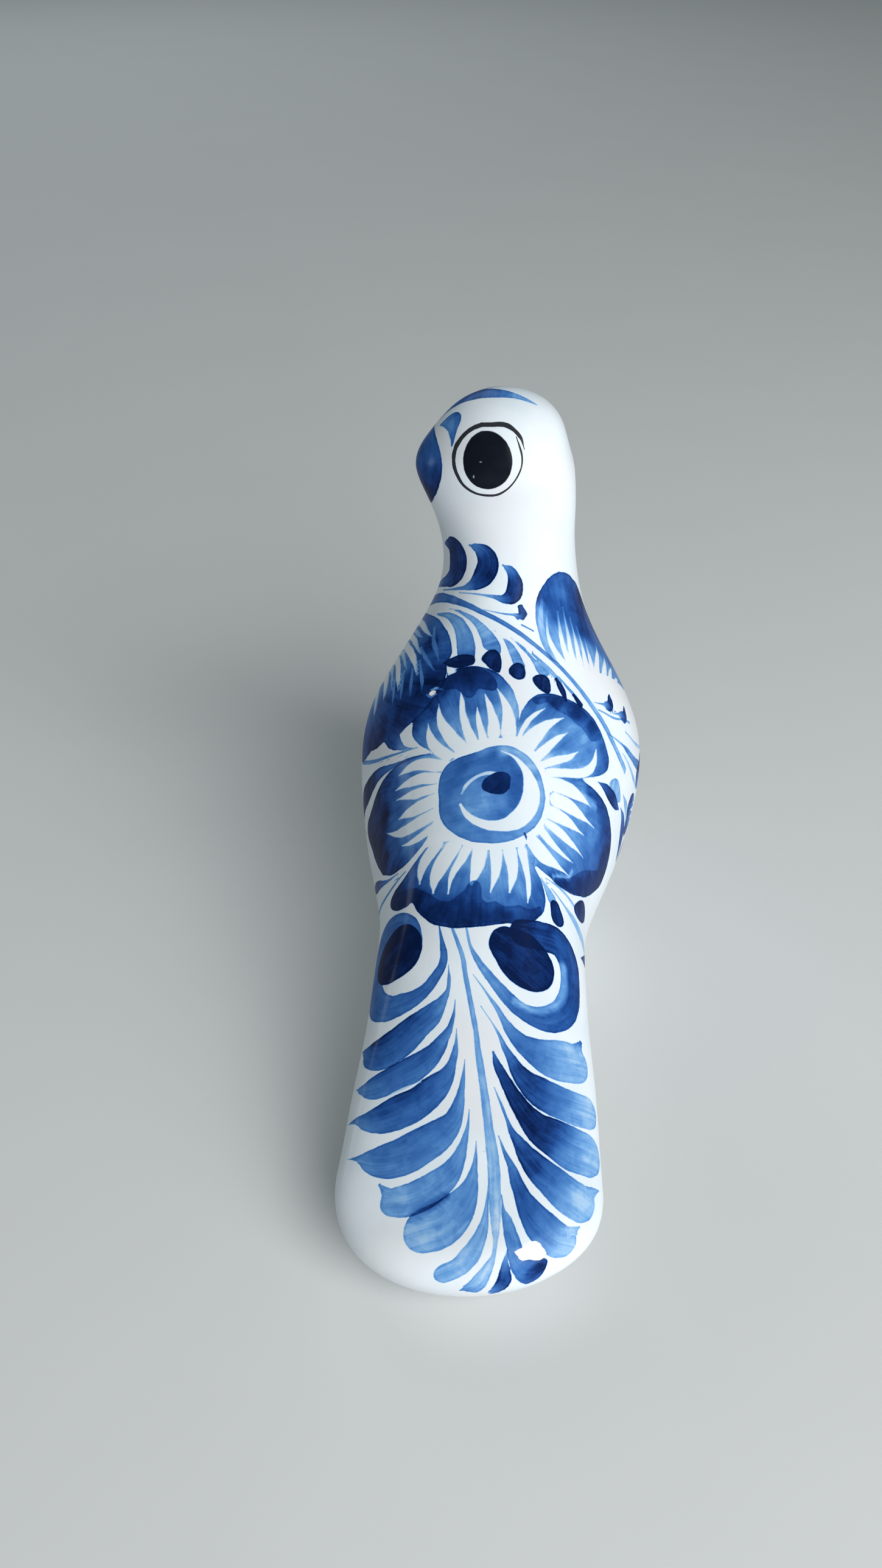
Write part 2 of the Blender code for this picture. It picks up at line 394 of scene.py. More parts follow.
def brush(coat, line, tone=0.6, lean=0.0, where=back_chart):
    """Lays one stroke. Its points are u, v and half width; tone may change along it and lean across it."""
    fine, run_to, part = smooth_line(line)
    width = np.maximum(fine[:, 2], FINEST)
    tones = np.interp(part, np.linspace(0.0, 1.0, len(np.atleast_1d(tone))), np.atleast_1d(tone))
    ahead = np.gradient(fine[:, :2], axis=0)
    spacing = np.linalg.norm(ahead, axis=1, keepdims=True)
    ahead = ahead / spacing
    near = near_points(where, fine, REACH + width.max())
    for some in np.array_split(near, len(near) // BATCH + 1):
        off = where[0][some][:, None, :] - fine[None, :, :2]
        forward = off[..., 0] * ahead[:, 0] + off[..., 1] * ahead[:, 1]
        aside = off[..., 0] * ahead[:, 1] - off[..., 1] * ahead[:, 0]
        beyond = np.maximum(np.abs(forward) - 0.6 * spacing[:, 0], 0.0)
        distance = np.hypot(aside, beyond)
        best = (distance - width).argmin(axis=1)
        one = np.arange(len(some))
        distance, aside, here = distance[one, best], aside[one, best], width[best]
        # a hair lies between the body's points, so there the offset aside decides alone
        eased = distance - 0.6 * np.clip((1.4 - here) / 0.8, 0.0, 1.0)
        share = np.clip(aside / here, -1.0, 1.0)
        shade = np.clip(tones[best] + lean * share, PALEST, 1.0)
        seed = SEED_STEP * coat.marks
        coat.lay(some, distance - here, np.stack((aside, eased, here), axis=1),
                 np.stack((run_to[best] + seed, shade, aside), axis=1))
    coat.marks += 1


# %% A filled outline, and a soft change of tone
FAN_SPACING = 24.0      # mm of brush marks to one radian of a fan
DAB_SOFTNESS = 3.0      # how softly dabs run into each other, square mm


def dabs(points, tones):
    """A tone for each point, from a few dabs (u, v, tone) that run into each other."""
    marks = np.array(tones, float)
    pull = 1.0 / (((points[:, None, :] - marks[None, :, :2]) ** 2).sum(axis=2) + DAB_SOFTNESS) ** 2.0
    return (pull * marks[:, 2]).sum(axis=1) / pull.sum(axis=1)


def fill(coat, outline, tones, centre=None, where=back_chart, smooth=True):
    """Fills a closed outline. Its brush marks fan out from the centre, or run along v without one."""
    edge = smooth_line(outline, closed=True)[0] if smooth else np.array(outline, float)
    near = near_points(where, edge, REACH)
    points = where[0][near]
    gap = outline_distance(points, edge[:, :2])
    if centre is None:
        travel, aside = points[:, 1], points[:, 0]
    else:
        off = points - centre
        travel = np.hypot(off[:, 0], off[:, 1])
        aside = np.arctan2(off[:, 1], off[:, 0]) * FAN_SPACING
    shape = np.stack((np.zeros(len(near)), gap + PATCH_BASE, np.full(len(near), PATCH_BASE)), axis=1)
    shade = dabs(points, tones) if np.ndim(tones) else np.full(len(near), tones)
    body = np.stack((travel + SEED_STEP * coat.marks, np.clip(shade, PALEST, 1.0), aside), axis=1)
    coat.lay(near, gap, shape, body)


def change_tone(coat, line, amount):
    """Makes the paint along a line darker or lighter, fading out towards the line's half width."""
    fine = smooth_line(line)[0]
    near = near_points(back_chart, fine, fine[:, 2].max())
    off = chart[near][:, None, :] - fine[None, :, :2]
    share = (np.linalg.norm(off, axis=2) / fine[:, 2]).min(axis=1)
    coat.body[near, 1] = np.clip(coat.body[near, 1] + amount * gentle_step(1.5 - 1.5 * share), PALEST, 1.0)


# %% [markdown]
# ## The tail
# A stem runs down the middle of the tail, and feathers curl from it to both sides like the barbs of a
# quill. Each feather is one stroke that starts as a hair on the stem and ends in a broad, wet belly. The
# painter's hand is not even: the left feathers are paler at the tip of the tail, and the right ones hold a
# dark pool each.

# %% Feathers on the left of the stem
brush(wash_1,
      [(5.2, 29.5, .1), (5.3, 26, .4), (5.3, 22, .85), (5, 18.5, 1.5), (4.2, 15.3, 2.1), (2.9, 12.2, 2.6),
       (.8, 9.6, 2.5), (-1.9, 8, 2.5)], .35)
brush(wash_2,
      [(1.35, 40.5, .1), (1.45, 37, .45), (1.2, 33.5, .95), (.7, 30, 1.9), (-.6, 26.3, 3.3),
       (-2.6, 22.8, 4.8), (-5.6, 19.6, 5.9), (-8.6, 18.4, 5.7)],
      (.35, .4, .45, .5, .55, .52, .42, .33))
brush(wash_1,
      [(-.95, 48.5, .1), (-1.05, 45.5, .35), (-1.5, 42.5, .7), (-2.1, 39.5, 1.15), (-3.1, 36, 1.9),
       (-4.7, 32.8, 2.8), (-7.5, 29.7, 3.7), (-11.5, 26.8, 4.2), (-15.5, 25.2, 4.1), (-18.2, 24.9, 3.6)],
      (.4, .45, .5, .5, .55, .58, .5, .5, .42, .45))
brush(wash_1, [(-19.5, 26.5, 1.6), (-21, 27.4, 1), (-22.3, 28.6, .35)], .45)
brush(wash_2,
      [(-2.75, 61.5, .1), (-2.95, 57.5, .5), (-3.3, 54, .9), (-3.95, 50, 1.6), (-5.2, 46, 2.5),
       (-8, 42.6, 3.9), (-12.6, 39.2, 4.8), (-17.5, 36.4, 5), (-22.5, 35.2, 4.3), (-26, 35.3, 2.9),
       (-29.2, 36.1, 1), (-32.8, 36.4, .1)],
      (.45, .5, .55, .6, .65, .7, .66, .68, .66, .58, .5, .5), lean=.1)
brush(wash_1, [(-5.3, 69.5, .1), (-5.25, 66.5, .45), (-5.65, 63, .95), (-6.5, 60, 1.35), (-7.9, 57.2, 2.4),
               (-10.8, 54, 3.8), (-15.1, 50.2, 4.4), (-19.7, 48, 4.7), (-24.8, 46.3, 3.7), (-28.5, 46, 2.4),
               (-32, 46.6, .9), (-35.5, 46.4, .1)],
      (.4, .5, .6, .62, .7, .76, .8, .8, .76, .66, .55, .5), lean=.1)
brush(wash_2, [(-6.1, 77.3, .1), (-6.2, 75, .3), (-6.6, 72.6, .55), (-7.4, 70, .85), (-8.8, 67.5, 1.5),
               (-10.8, 64.3, 2.4), (-14.2, 61.2, 3.3), (-18.5, 58.6, 3.9), (-23.3, 56.4, 3.8), (-28, 55, 3),
               (-31, 55, 1.5), (-34, 55.6, .1)],
      (.4, .5, .6, .62, .68, .72, .75, .76, .74, .66, .6, .5), lean=.1)
brush(wash_1,
      [(-8.4, 87, .1), (-8.1, 84, .45), (-8.2, 81, .55), (-9.7, 77.8, 1.3), (-12.1, 74.5, 2.8),
       (-16.6, 70.8, 3.9), (-21.6, 66.9, 4.7), (-26.7, 64.5, 4.7), (-30.5, 64.5, 3.3), (-33.5, 66, 1.2),
       (-35.5, 66.8, .2)],
      (.4, .5, .55, .6, .7, .78, .82, .82, .76, .68, .6), lean=.1)
brush(wash_2, [(-11.6, 98.5, .2), (-10.7, 94.5, .6), (-10, 91, 1), (-10.2, 88, 1.15), (-11.8, 85, 1.4),
               (-13.9, 81.9, 1.7), (-17.3, 79.2, 2.2), (-21.6, 77.7, 3), (-26, 77.1, 3.6), (-30, 78.5, 4.2),
               (-34, 82.5, 4.6), (-36, 88, 5.2), (-36.6, 94, 5.8), (-34, 100.5, 5), (-27, 101.5, 4.6),
               (-22, 99.5, 3.9), (-19.6, 96, 2.8)], .72)
brush(wash_1, [(-27, 92.5, 7.9), (-25, 93.5, 8.2)], .99)
print("points painted, with the left feathers:", painted_points())

# %% The stem
brush(wash_3,
      [(-8, 98.6, .35), (-6.5, 95, .5), (-4.6, 90, .65), (-3.65, 85, .65), (-2.45, 80, .65), (-1.3, 75, .7),
       (-.2, 70, .7), (.6, 65, .8), (1.4, 61, .95), (2.6, 55, 1), (3.55, 50, 1.15), (4.4, 45, 1.2),
       (5.4, 40, 1.45), (6.4, 34, 1.6), (6.8, 30, 1.6), (7.3, 26, 1.5), (8.1, 21, 1.15), (8.9, 16, .55),
       (9, 13, .6), (8.2, 10, 1.3), (7.2, 7.3, 1.9), (6, 5.2, 1.9), (4.2, 4.3, .7), (3.3, 3.7, .2)],
      (.4, .38, .36, .35, .35, .35, .35, .35, .36, .36, .35, .34, .31, .27, .24, .22, .2, .25, .3, .4, .5,
       .55))
print("points painted, with the stem:", painted_points())

# %% Feathers on the right of the stem
brush(wash_1,
      [(12.2, 14.3, .2), (12.3, 12, .7), (12.8, 9.7, 1.4), (13.1, 7.7, 1.9), (12.2, 6, 1.2), (11, 5, .2)],
      (.4, .6, .85, .9, .7, .5))
brush(wash_2, [(8.9, 27.5, .15), (9.6, 24.6, .4), (10.9, 22, 1.2), (12.2, 19, 1.6), (13.6, 16.2, 1.9),
               (15, 13.2, 2), (17.5, 11.3, 2.6), (20.3, 11.7, 2.7), (22, 13.2, 1.2)],
      (.4, .45, .5, .55, .55, .6, .68, .8, .85))
brush(wash_1, [(7.4, 42.4, .15), (8.9, 39, .5), (10.9, 35.5, 1), (12.2, 32.2, 1.6), (14.1, 28.6, 2.1),
               (17.2, 24.3, 3.4), (20.9, 21, 4.3), (24.8, 19.3, 4), (26, 19.3, 3.6)],
      (.35, .55, .68, .78, .84, .8, .62, .32, .28))
brush(wash_1, [(27, 21, 1.8), (28, 21.8, 1.1), (29.2, 22.8, .3)], .3)
brush(wash_2, [(5.7, 54.8, .15), (7.5, 51, .35), (9.3, 47, .45), (10.4, 44.7, .8), (12.2, 42.3, 1.4),
               (14.4, 39.3, 2.4), (17.7, 36, 3.5), (21.6, 33.3, 4.2), (25.9, 30.5, 4.8), (29, 29.3, 4.9)],
      (.3, .5, .62, .72, .8, .88, .88, .74, .45, .3))
brush(wash_2, [(31, 32, 1.8), (33, 32.7, 1.1), (34.8, 33.4, .3)], .3)
brush(wash_1, [(4.9, 64, .3), (5.6, 62, .9), (7.1, 59.4, 1.3), (9.1, 56.1, 1.7), (11.4, 52.7, 2.2),
               (14.4, 49.1, 2.9), (18, 46, 4.1), (22.6, 44.2, 5.2), (27, 42.5, 5.9), (31, 42, 5.8)],
      (.7, .82, .9, .94, .95, .96, .95, .88, .55, .34))
brush(wash_2, [(1.3, 76.2, .12), (4.3, 72.2, .2), (6.2, 69.2, .45), (7.7, 66.2, .8), (9.5, 63.6, 1.25),
               (11.4, 60.5, 2), (14.4, 57.7, 3), (18.5, 55.4, 4.2), (23, 54.1, 4.4), (28, 53.3, 4.5),
               (31.6, 53.3, 4.4)], (.25, .3, .4, .55, .75, .88, .9, .84, .66, .42, .3))
brush(wash_1, [(-1.1, 84.8, .12), (1.2, 82, .25), (3.3, 79.2, .4), (5.3, 76.6, .65), (7.2, 73.6, .95),
               (9.4, 70.6, 1.6), (12.3, 68.1, 2.4), (15.9, 66.4, 3.5), (20.5, 65.2, 5), (25, 65.4, 5.6),
               (27.5, 65.6, 5.3)], (.25, .25, .3, .35, .45, .6, .7, .7, .5, .35, .33))
brush(wash_1, [(28.5, 69, 2.2), (29.4, 70.4, 1.4), (30.2, 71.6, .6)], (.35, .5, .7))
brush(wash_2, [(-3.8, 98, .3), (-2.5, 93, .45), (-.7, 89.8, .8), (1.8, 86.4, 1.15), (4.7, 83.2, 1.45),
               (8.2, 79.6, 1.9), (12, 76.9, 2.2), (16, 75.7, 2.8), (20.2, 76.1, 3.7), (24.5, 78.9, 4.1),
               (27.5, 84.3, 4.25), (28.4, 90, 4.35), (27.7, 95.2, 4.8), (23.5, 98.9, 4.4), (18, 99, 4.2),
               (12, 98.5, 3.8)],
      (.35, .4, .45, .5, .55, .68, .78, .82, .82, .84, .88, .9, .88, .88, .9, .95))
brush(wash_1, [(7.5, 94.5, 4.9), (10, 93, 6.3), (13.5, 90.3, 7.3), (14.6, 89.6, 6.9)], .98)
print("points painted, with the right feathers:", painted_points())

# %% Pools, pale rims and a fine white line on the tail
change_tone(wash_1, [(-5, 27, 1.6), (-8, 24.5, 2.3), (-11.5, 21.8, 2.4), (-14, 20.6, 1.6)], .3)
change_tone(wash_2, [(-5, 27, 1.4), (-8, 24.5, 2), (-11.5, 21.8, 2), (-14, 20.6, 1.4)], .3)
change_tone(wash_2, [(19.5, 10.5, 2), (21.5, 12.5, 2.2)], .15)
change_tone(wash_2, [(10, 79, 1.4), (16, 78, 1.8), (21, 80, 2.2), (24.3, 85, 2.6), (25, 92, 2.4)], -.4)
brush(clean, [(-15, 55.8, .1), (-19, 54.2, .35), (-23, 52.2, .4), (-25.5, 50.8, .1)], .8)
print("points painted, with the pools:", painted_points())

# %% [markdown]
# ## The big flower
# Five petals stand round a disc with a scroll in it. The painter fills each petal with one wet wash, darker
# outside, and then pulls short tapered strokes of clean glaze inwards and outwards, so that blue spikes
# stay between them. Here the petals are filled outlines, and the white wedges are wiping strokes.

# %% Petals
FLOWER = (0.7, 137.8)    # the big flower's middle on the chart
RING = 17.2              # how far from it the petals end, mm
INNER_TONE = 0.24        # the paint runs out near the ring


def petal(outline, tones):
    """A petal whose outline is closed along the ring round the flower's disc."""
    ends = np.array((outline[-1], outline[0]), float)[:, :2] - FLOWER
    first, last = np.arctan2(ends[:, 1], ends[:, 0])
    last = first + (last - first + math.pi) % (2.0 * math.pi) - math.pi
    inner = [(FLOWER[0] + RING * math.cos(turn), FLOWER[1] + RING * math.sin(turn))
             for turn in np.linspace(first, last, 7)[1:-1]]
    edge = smooth_line(outline)[0][:, :2]
    fading = [(*spot, INNER_TONE) for spot in inner]
    fill(petals, np.concatenate((edge, inner)), tones + fading, FLOWER, smooth=False)


petal([(-18, 151.2), (-20.5, 152.8), (-23, 154.5), (-25.3, 156.5), (-26.6, 158.5), (-26.9, 160.5),
       (-26.4, 162.6), (-24, 164.5), (-21.5, 166.5), (-20, 169), (-18.5, 171.5), (-17, 174), (-15.5, 175.8),
       (-13, 177), (-10, 177.4), (-7, 177.3), (-4, 176.6), (-1, 175.3), (.5, 174), (2.5, 172), (4, 170),
       (4.8, 168), (5.8, 165.5), (6.2, 163.5), (6.2, 160), (5.9, 156)],
      [(-16, 174, .95), (-10, 174.5, .96), (-3, 174, .92), (.5, 172.5, .8), (3, 169.5, .44),
       (-18, 170, .93), (-22, 166, .96), (-25, 161.5, .9), (-20.5, 163.5, .88), (-14, 167, .74),
       (-8, 165, .78), (-2.5, 168, .66), (5.2, 166, .36), (-22, 159, .62), (-18, 158, .56), (-13, 162, .6),
       (-12, 158, .5), (-6.5, 159, .5), (-1, 160, .46), (5, 159, .4), (-15, 153, .4), (-5, 155, .4),
       (2, 155, .38)])
petal([(6, 156.5), (6.4, 160), (6.9, 163), (7.7, 165.7), (9, 167.8), (10.5, 169.2), (12.5, 170.2),
       (15, 170.6), (18, 170.6), (21, 170.1), (24, 169.5), (27, 168.6), (30, 167.2), (33, 165.2),
       (35.5, 163), (38, 160.5), (39.8, 158.3), (40, 156.8), (39, 155), (36.8, 153.3), (34, 151.7),
       (31, 150.3), (28.5, 149)],
      [(10, 167, .84), (16, 168.5, .92), (24, 166.5, .92), (30, 163.8, .9), (36, 161, .84),
       (38.6, 157.5, .86), (8.3, 163, .66), (12, 165, .6), (14.5, 164.5, .7), (19, 164, .62),
       (23, 161.5, .42), (27, 161.5, .44), (31, 159, .56), (25, 158.5, .56), (22, 156.5, .66),
       (34, 156.5, .62), (36.5, 154.5, .78), (30, 153, .5), (18, 158, .42), (12, 158, .42), (22, 153, .36),
       (9, 156, .32)])
petal([(16.3, 145.1), (18, 146), (20, 147), (23, 147.8), (26, 148.3), (29, 148.7), (32, 148.6), (36, 148.3),
       (40, 147.8), (45, 146.5), (50, 144.6), (54, 142.5), (57, 140), (58.6, 137), (58, 133), (54, 129.3),
       (49, 125.8), (44, 122.6), (40, 120.5), (37, 119.3), (34, 118), (31, 117), (28, 116.5), (25, 116.3),
       (23, 116.5), (21, 117.3), (19, 117.8), (17, 118.5), (15, 119.7), (13.5, 121)],
      [(38, 146, .9), (33, 147.3, .86), (46, 143, .92), (53, 138, .97), (51, 131, .95), (43, 125, .92),
       (36, 121, .9), (28, 118, .9), (22, 118.3, .84), (24, 147, .7), (30, 145.5, .62), (36, 142, .66),
       (37, 137, .58), (38, 131, .76), (33, 126.5, .72), (44, 134, .8), (30, 141.5, .5), (28, 137, .46),
       (25, 133.5, .5), (25, 128.5, .56), (22, 124.5, .5), (30, 132, .54), (19, 120.8, .62), (16, 126, .5),
       (20, 142, .5)])
petal([(13.2, 124), (13.3, 122.5), (14.5, 120), (15.5, 118), (17, 116), (18.2, 113.8), (18.9, 111.5),
       (18.9, 108.5), (18.3, 106.3), (17, 104.5), (15, 102.7), (12.5, 101.3), (10, 100.6), (7, 100.3),
       (5, 99.8), (2, 99.1), (-1, 98.7), (-5, 98.2), (-8, 98.3), (-11, 99), (-14, 100), (-16, 101.5),
       (-18, 103.3), (-19.5, 105), (-20.5, 106.8), (-21.5, 107.7), (-23, 107.2), (-25, 107), (-27.5, 107.2),
       (-29.5, 108), (-31.5, 109.2), (-33, 110.8), (-33.3, 112), (-32.5, 113.3), (-31, 114.3),
       (-28.5, 115.2), (-26, 116.2), (-24, 117.5), (-22.5, 118.7), (-21, 119.8), (-19, 121.5),
       (-17.5, 122.8)],
      [(14, 104, .88), (6, 102.5, .9), (-3, 101.5, .97), (-12, 103, .97), (-19, 108, .95), (-26, 111, .96),
       (-31, 112, .96), (16.8, 110.5, .84), (9, 107.5, .72), (4, 107.8, .62), (-7, 106.5, .88),
       (-14, 109, .82), (-22, 115.5, .84), (11.5, 111.5, .5), (5.5, 112, .52), (-5, 112.5, .7),
       (-8, 109.5, .74), (-17, 113, .74), (10.5, 118, .48), (6, 119, .46), (1.5, 118, .44), (-4, 118, .46),
       (-9.5, 117.5, .5), (-15, 118.5, .52)])
petal([(-17.5, 125.3), (-19, 123.8), (-21, 122.2), (-23.5, 120.9), (-26, 120.2), (-29, 120), (-32, 120.2),
       (-35, 121), (-38, 122.5), (-40.5, 123.5), (-43, 125.5), (-45.5, 127.6), (-48, 129.9), (-51, 133),
       (-54, 136.8), (-57, 140), (-58.7, 142.3), (-58.6, 144), (-57, 145), (-54, 145.4), (-50, 146.2),
       (-46, 147.7), (-42, 149.2), (-38, 150.4), (-34, 151.3), (-30, 152), (-25, 151.8), (-20, 151.2),
       (-16, 150.3), (-13, 149.2), (-10.5, 148.7)],
      [(-44, 130, 1), (-50, 138, .99), (-46, 145, .97), (-38, 139, .99), (-39, 127, .97), (-38, 148.5, .9),
       (-30, 122, .9), (-22, 123, .72), (-34, 145, .8), (-33, 138, .74), (-32, 128, .82), (-27, 147, .62),
       (-27, 138, .66), (-25, 130, .56), (-20, 146, .5), (-20, 138, .46), (-20, 133.5, .46),
       (-20, 126, .52)])
print("points painted, with the five petals:", painted_points())

# %% White wedges of the big flower
WEDGES = [
    [(-20.9, 159.9, .1), (-20.2, 157, .9), (-18.8, 154.3, 1.5), (-16.5, 151.9, 1.6), (-13.5, 149.8, 1.6)],
    [(-18.1, 165.4, .1), (-17.7, 163, .7), (-16.6, 160.2, 1.3), (-14.8, 157.6, 1.7), (-12.5, 154.7, 1.9),
     (-9.8, 152, 1.9)],
    [(-11.4, 168.5, .2), (-10.9, 166, .75), (-10.4, 163, .9), (-9.4, 160, 1.1), (-8.2, 157, 1.3),
     (-6.6, 154, 1.5)],
    [(-6, 163.6, .15), (-5.6, 161.5, .6), (-4.9, 159, .85), (-4, 156.5, 1), (-3.2, 154, 1.2)],
    [(-3.9, 167.8, .2), (-2.8, 165.3, .8), (-1.7, 162.5, 1.1), (-.8, 159.5, 1.5), (-.4, 156.5, 1.8)],
    [(-.3, 169.7, .15), (1.1, 167.4, .7), (2.5, 164.5, 1.2), (3.4, 161, 1.8), (3.8, 157, 2.1)],
    [(13.2, 165.4, .1), (11.3, 163.8, .55), (9.6, 161.9, .75), (8.3, 159.5, .75), (7.4, 157, .6),
     (7, 155, .7)],
    [(19.1, 163.8, .15), (16.8, 162.4, .8), (14.3, 160.4, 1.5), (12.2, 157.9, 2.1), (10.4, 155.2, 2.4),
     (9.3, 152.9, 2.2)],
    [(20.9, 159.6, .15), (18.8, 157.8, .8), (16.8, 155.6, 1.1), (14.9, 153.2, 1.3), (13.2, 151, 1.4)],
    [(25.3, 155.3, .15), (23.3, 153.5, .75), (20.6, 152, 1.05), (17.8, 150.5, 1.1), (15.3, 149, 1)],
    [(33, 158, .3), (33, 155.7, .95), (31.6, 153, 1.3), (29, 150.9, 1.3), (25.5, 149.4, 1.2),
     (21.5, 148.2, 1.2), (17.5, 147, 1.2)],
    [(33.8, 143.6, .1), (30, 143.9, .9), (26, 144.2, 1.85), (22, 144.2, 2.05), (18, 143.9, 1.8)],
    [(37.6, 139.3, .1), (34, 139.3, .4), (30, 139.4, 1.1), (25.5, 139.9, 1.9), (20.5, 139.9, 1.9)],
    [(33, 135.2, .1), (30, 135.2, .45), (26, 135.5, 1.35), (21.5, 135.7, 1.9), (18, 135.7, 1.8)],
    [(35, 129.9, .1), (31, 130.3, .5), (27, 130.7, 1.1), (23, 131.5, 1.35), (19, 132.3, 1)],
    [(29.7, 125.9, .1), (26.5, 125.9, .5), (23, 126.5, .8), (19.5, 127.8, 1.2), (16.5, 129.7, 1.3)],
    [(28.3, 121.5, .1), (25, 121.7, .5), (21.5, 122.2, 1.4), (17.5, 123.2, 2.4), (14.5, 125.3, 2)],
    [(13.3, 108.4, .2), (13.5, 110.5, .65), (13.4, 113, .75), (12.9, 116, .9), (12.1, 119, 1.1),
     (11.2, 122, 1.3)],
    [(8, 110.2, .3), (8.4, 112.5, .85), (8.6, 115, 1.35), (8.3, 118, 1.7), (7.6, 121, 1.9)],
    [(2.7, 109.4, .2), (3.2, 111.5, .6), (3.7, 114, 1.1), (3.85, 117, 1.45), (3.6, 120.5, 1.7)],
    [(-2.6, 111.5, .4), (-2, 113.5, 1.2), (-1.4, 115.8, 1.8), (-1.1, 118.5, 2), (-.9, 121.5, 2)],
    [(-9.3, 109, .25), (-9, 111.3, .5), (-8.3, 113.7, .9), (-7, 116.2, 1.15), (-5.6, 118.8, 1.35),
     (-4.4, 121.5, 1.4)],
    [(-14, 109.8, .3), (-13.9, 112, 1.2), (-13.1, 114.5, 2.1), (-11.8, 117, 2.5), (-10.1, 119.5, 2.3),
     (-8.4, 122, 2)],
    [(-18.8, 113.5, .3), (-18.7, 115.5, 1), (-18, 118, 1.7), (-16.2, 120.4, 1.9), (-13.8, 122.8, 1.7)],
    [(-27, 126.6, .15), (-24.5, 126.2, .6), (-21.5, 126.4, 1), (-18.3, 127.3, 1.2), (-15, 128.8, 1.1)],
    [(-36.2, 133.6, .1), (-33.5, 132.4, .5), (-31, 131.5, .9), (-27.5, 130.8, 1.5), (-23.5, 130.8, 1.8),
     (-19.5, 131.5, 1.9), (-15.6, 132.5, 1.7)],
    [(-29.5, 135.4, .15), (-26.5, 135.6, 1.1), (-23, 135.7, 1.9), (-19.5, 136.1, 2.1), (-16, 136.6, 1.9)],
    [(-31, 141.3, .15), (-28.5, 141, .5), (-26, 140.7, 1), (-23, 140.3, 1.5), (-19.5, 140.3, 1.4),
     (-16.2, 140.3, 1.15)],
    [(-31.8, 144.4, .2), (-28.5, 144.6, .8), (-25, 144.5, 1.4), (-21, 144.3, 1.65), (-17.5, 143.6, 1.6),
     (-15, 143.3, 1.3)],
    [(-30.5, 148.3, .2), (-27.5, 148.8, 1), (-24, 148.9, 1.5), (-20.5, 148.4, 1.7), (-17, 147.3, 1.75),
     (-13.8, 146.7, 1.5)],
]
WEDGE_SWELL = 0.08      # how much wider than listed a wedge ends at the ring
for number, wedge in enumerate(WEDGES):
    last = len(wedge) - 1.0
    pressed = [(u, v, width * (1.0 + WEDGE_SWELL * (mark / last) ** 2))
               for mark, (u, v, width) in enumerate(wedge)]
    brush(WIPES[number % 2], pressed, .95)
brush(petals, [(11.9, 126.6, .3), (12.8, 125, .4), (13.6, 122.8, .6), (15.5, 120.3, .8)], (.8, .6, .45, .4))
# A clean rim between the petals and the disc on the right
brush(wipes_b, [(FLOWER[0] + RING * math.cos(turn), FLOWER[1] + RING * math.sin(turn), .5)
                for turn in np.linspace(-0.75, 1.15, 12)], .9)
change_tone(petals, [(22, 118, .8), (25, 119.5, 1), (29.5, 121.5, 1), (30.5, 123.5, .8)], -.45)
change_tone(petals, [(30, 145, 1.6), (37, 144.5, 1.2)], -.3)
print("wedges:", len(WEDGES), "points painted:", painted_points())

# %% Second wash on the petals
SECOND_WASHES = [
    (wash_2, .6,
     [(-19.6, 169.6), (-17.5, 170), (-15, 170.6), (-12.5, 170.2), (-11, 168.5), (-9, 167.3),
      (-7.3, 168.5), (-6.5, 170.3), (-4, 170), (-1.5, 169.9), (-.8, 171), (-1.2, 172.5), (-2.5, 174.4),
      (-4.5, 176), (-8, 177), (-13, 176.6), (-16.5, 174.2)]),
    (wash_2, .42,
     [(9.6, 167.9), (11, 166.8), (12.5, 167), (14.5, 168), (17, 166.2), (20, 165.4), (22.5, 164.6),
      (24, 163.6), (26.5, 163), (28.5, 161.6), (30.5, 160.6), (33, 161.5), (34.6, 162.6), (33, 164.3),
      (29, 166.8), (25, 168.5), (20, 169.6), (15, 169.9), (11.5, 169)]),
    (wash_3, .5,
     [(22, 117.8), (25, 119), (28.2, 120.4), (31.4, 122.4), (34, 124.6), (38, 127.4), (44, 130.2),
      (50, 133), (54, 134.6), (57, 133.6), (53, 129.4), (48, 126), (43, 122.6), (38, 120.2), (33, 118.3),
      (28, 117.1), (24, 116.9)]),
    (wash_3, .5,
     [(-32.2, 112.2), (-30, 113.2), (-27, 112.9), (-24, 112.2), (-21, 111.9), (-18, 110.6),
      (-15.5, 109.1), (-13, 107.2), (-11, 106.1), (-9, 105.9), (-7, 107.1), (-5, 108.7), (-3.6, 110.7),
      (-2.4, 111.6), (-.6, 111.1), (0, 109), (.4, 106.6), (1.4, 105.7), (4, 106.1), (6.5, 105.2),
      (9, 105.6), (11, 106.2), (13, 105.7), (15.2, 106.4), (17.4, 107.8), (17.6, 105.6), (15, 103.4),
      (10, 101.4), (4, 100.2), (-4, 99.2), (-10, 99.7), (-15, 101.8), (-19.4, 105.8), (-21.5, 108.5),
      (-25, 107.8), (-29, 108.6), (-32, 110.6)]),
]
for coat, tone, zone in SECOND_WASHES:
    fill(coat, zone, tone, FLOWER)
print("second washes:", len(SECOND_WASHES), "points painted:", painted_points())

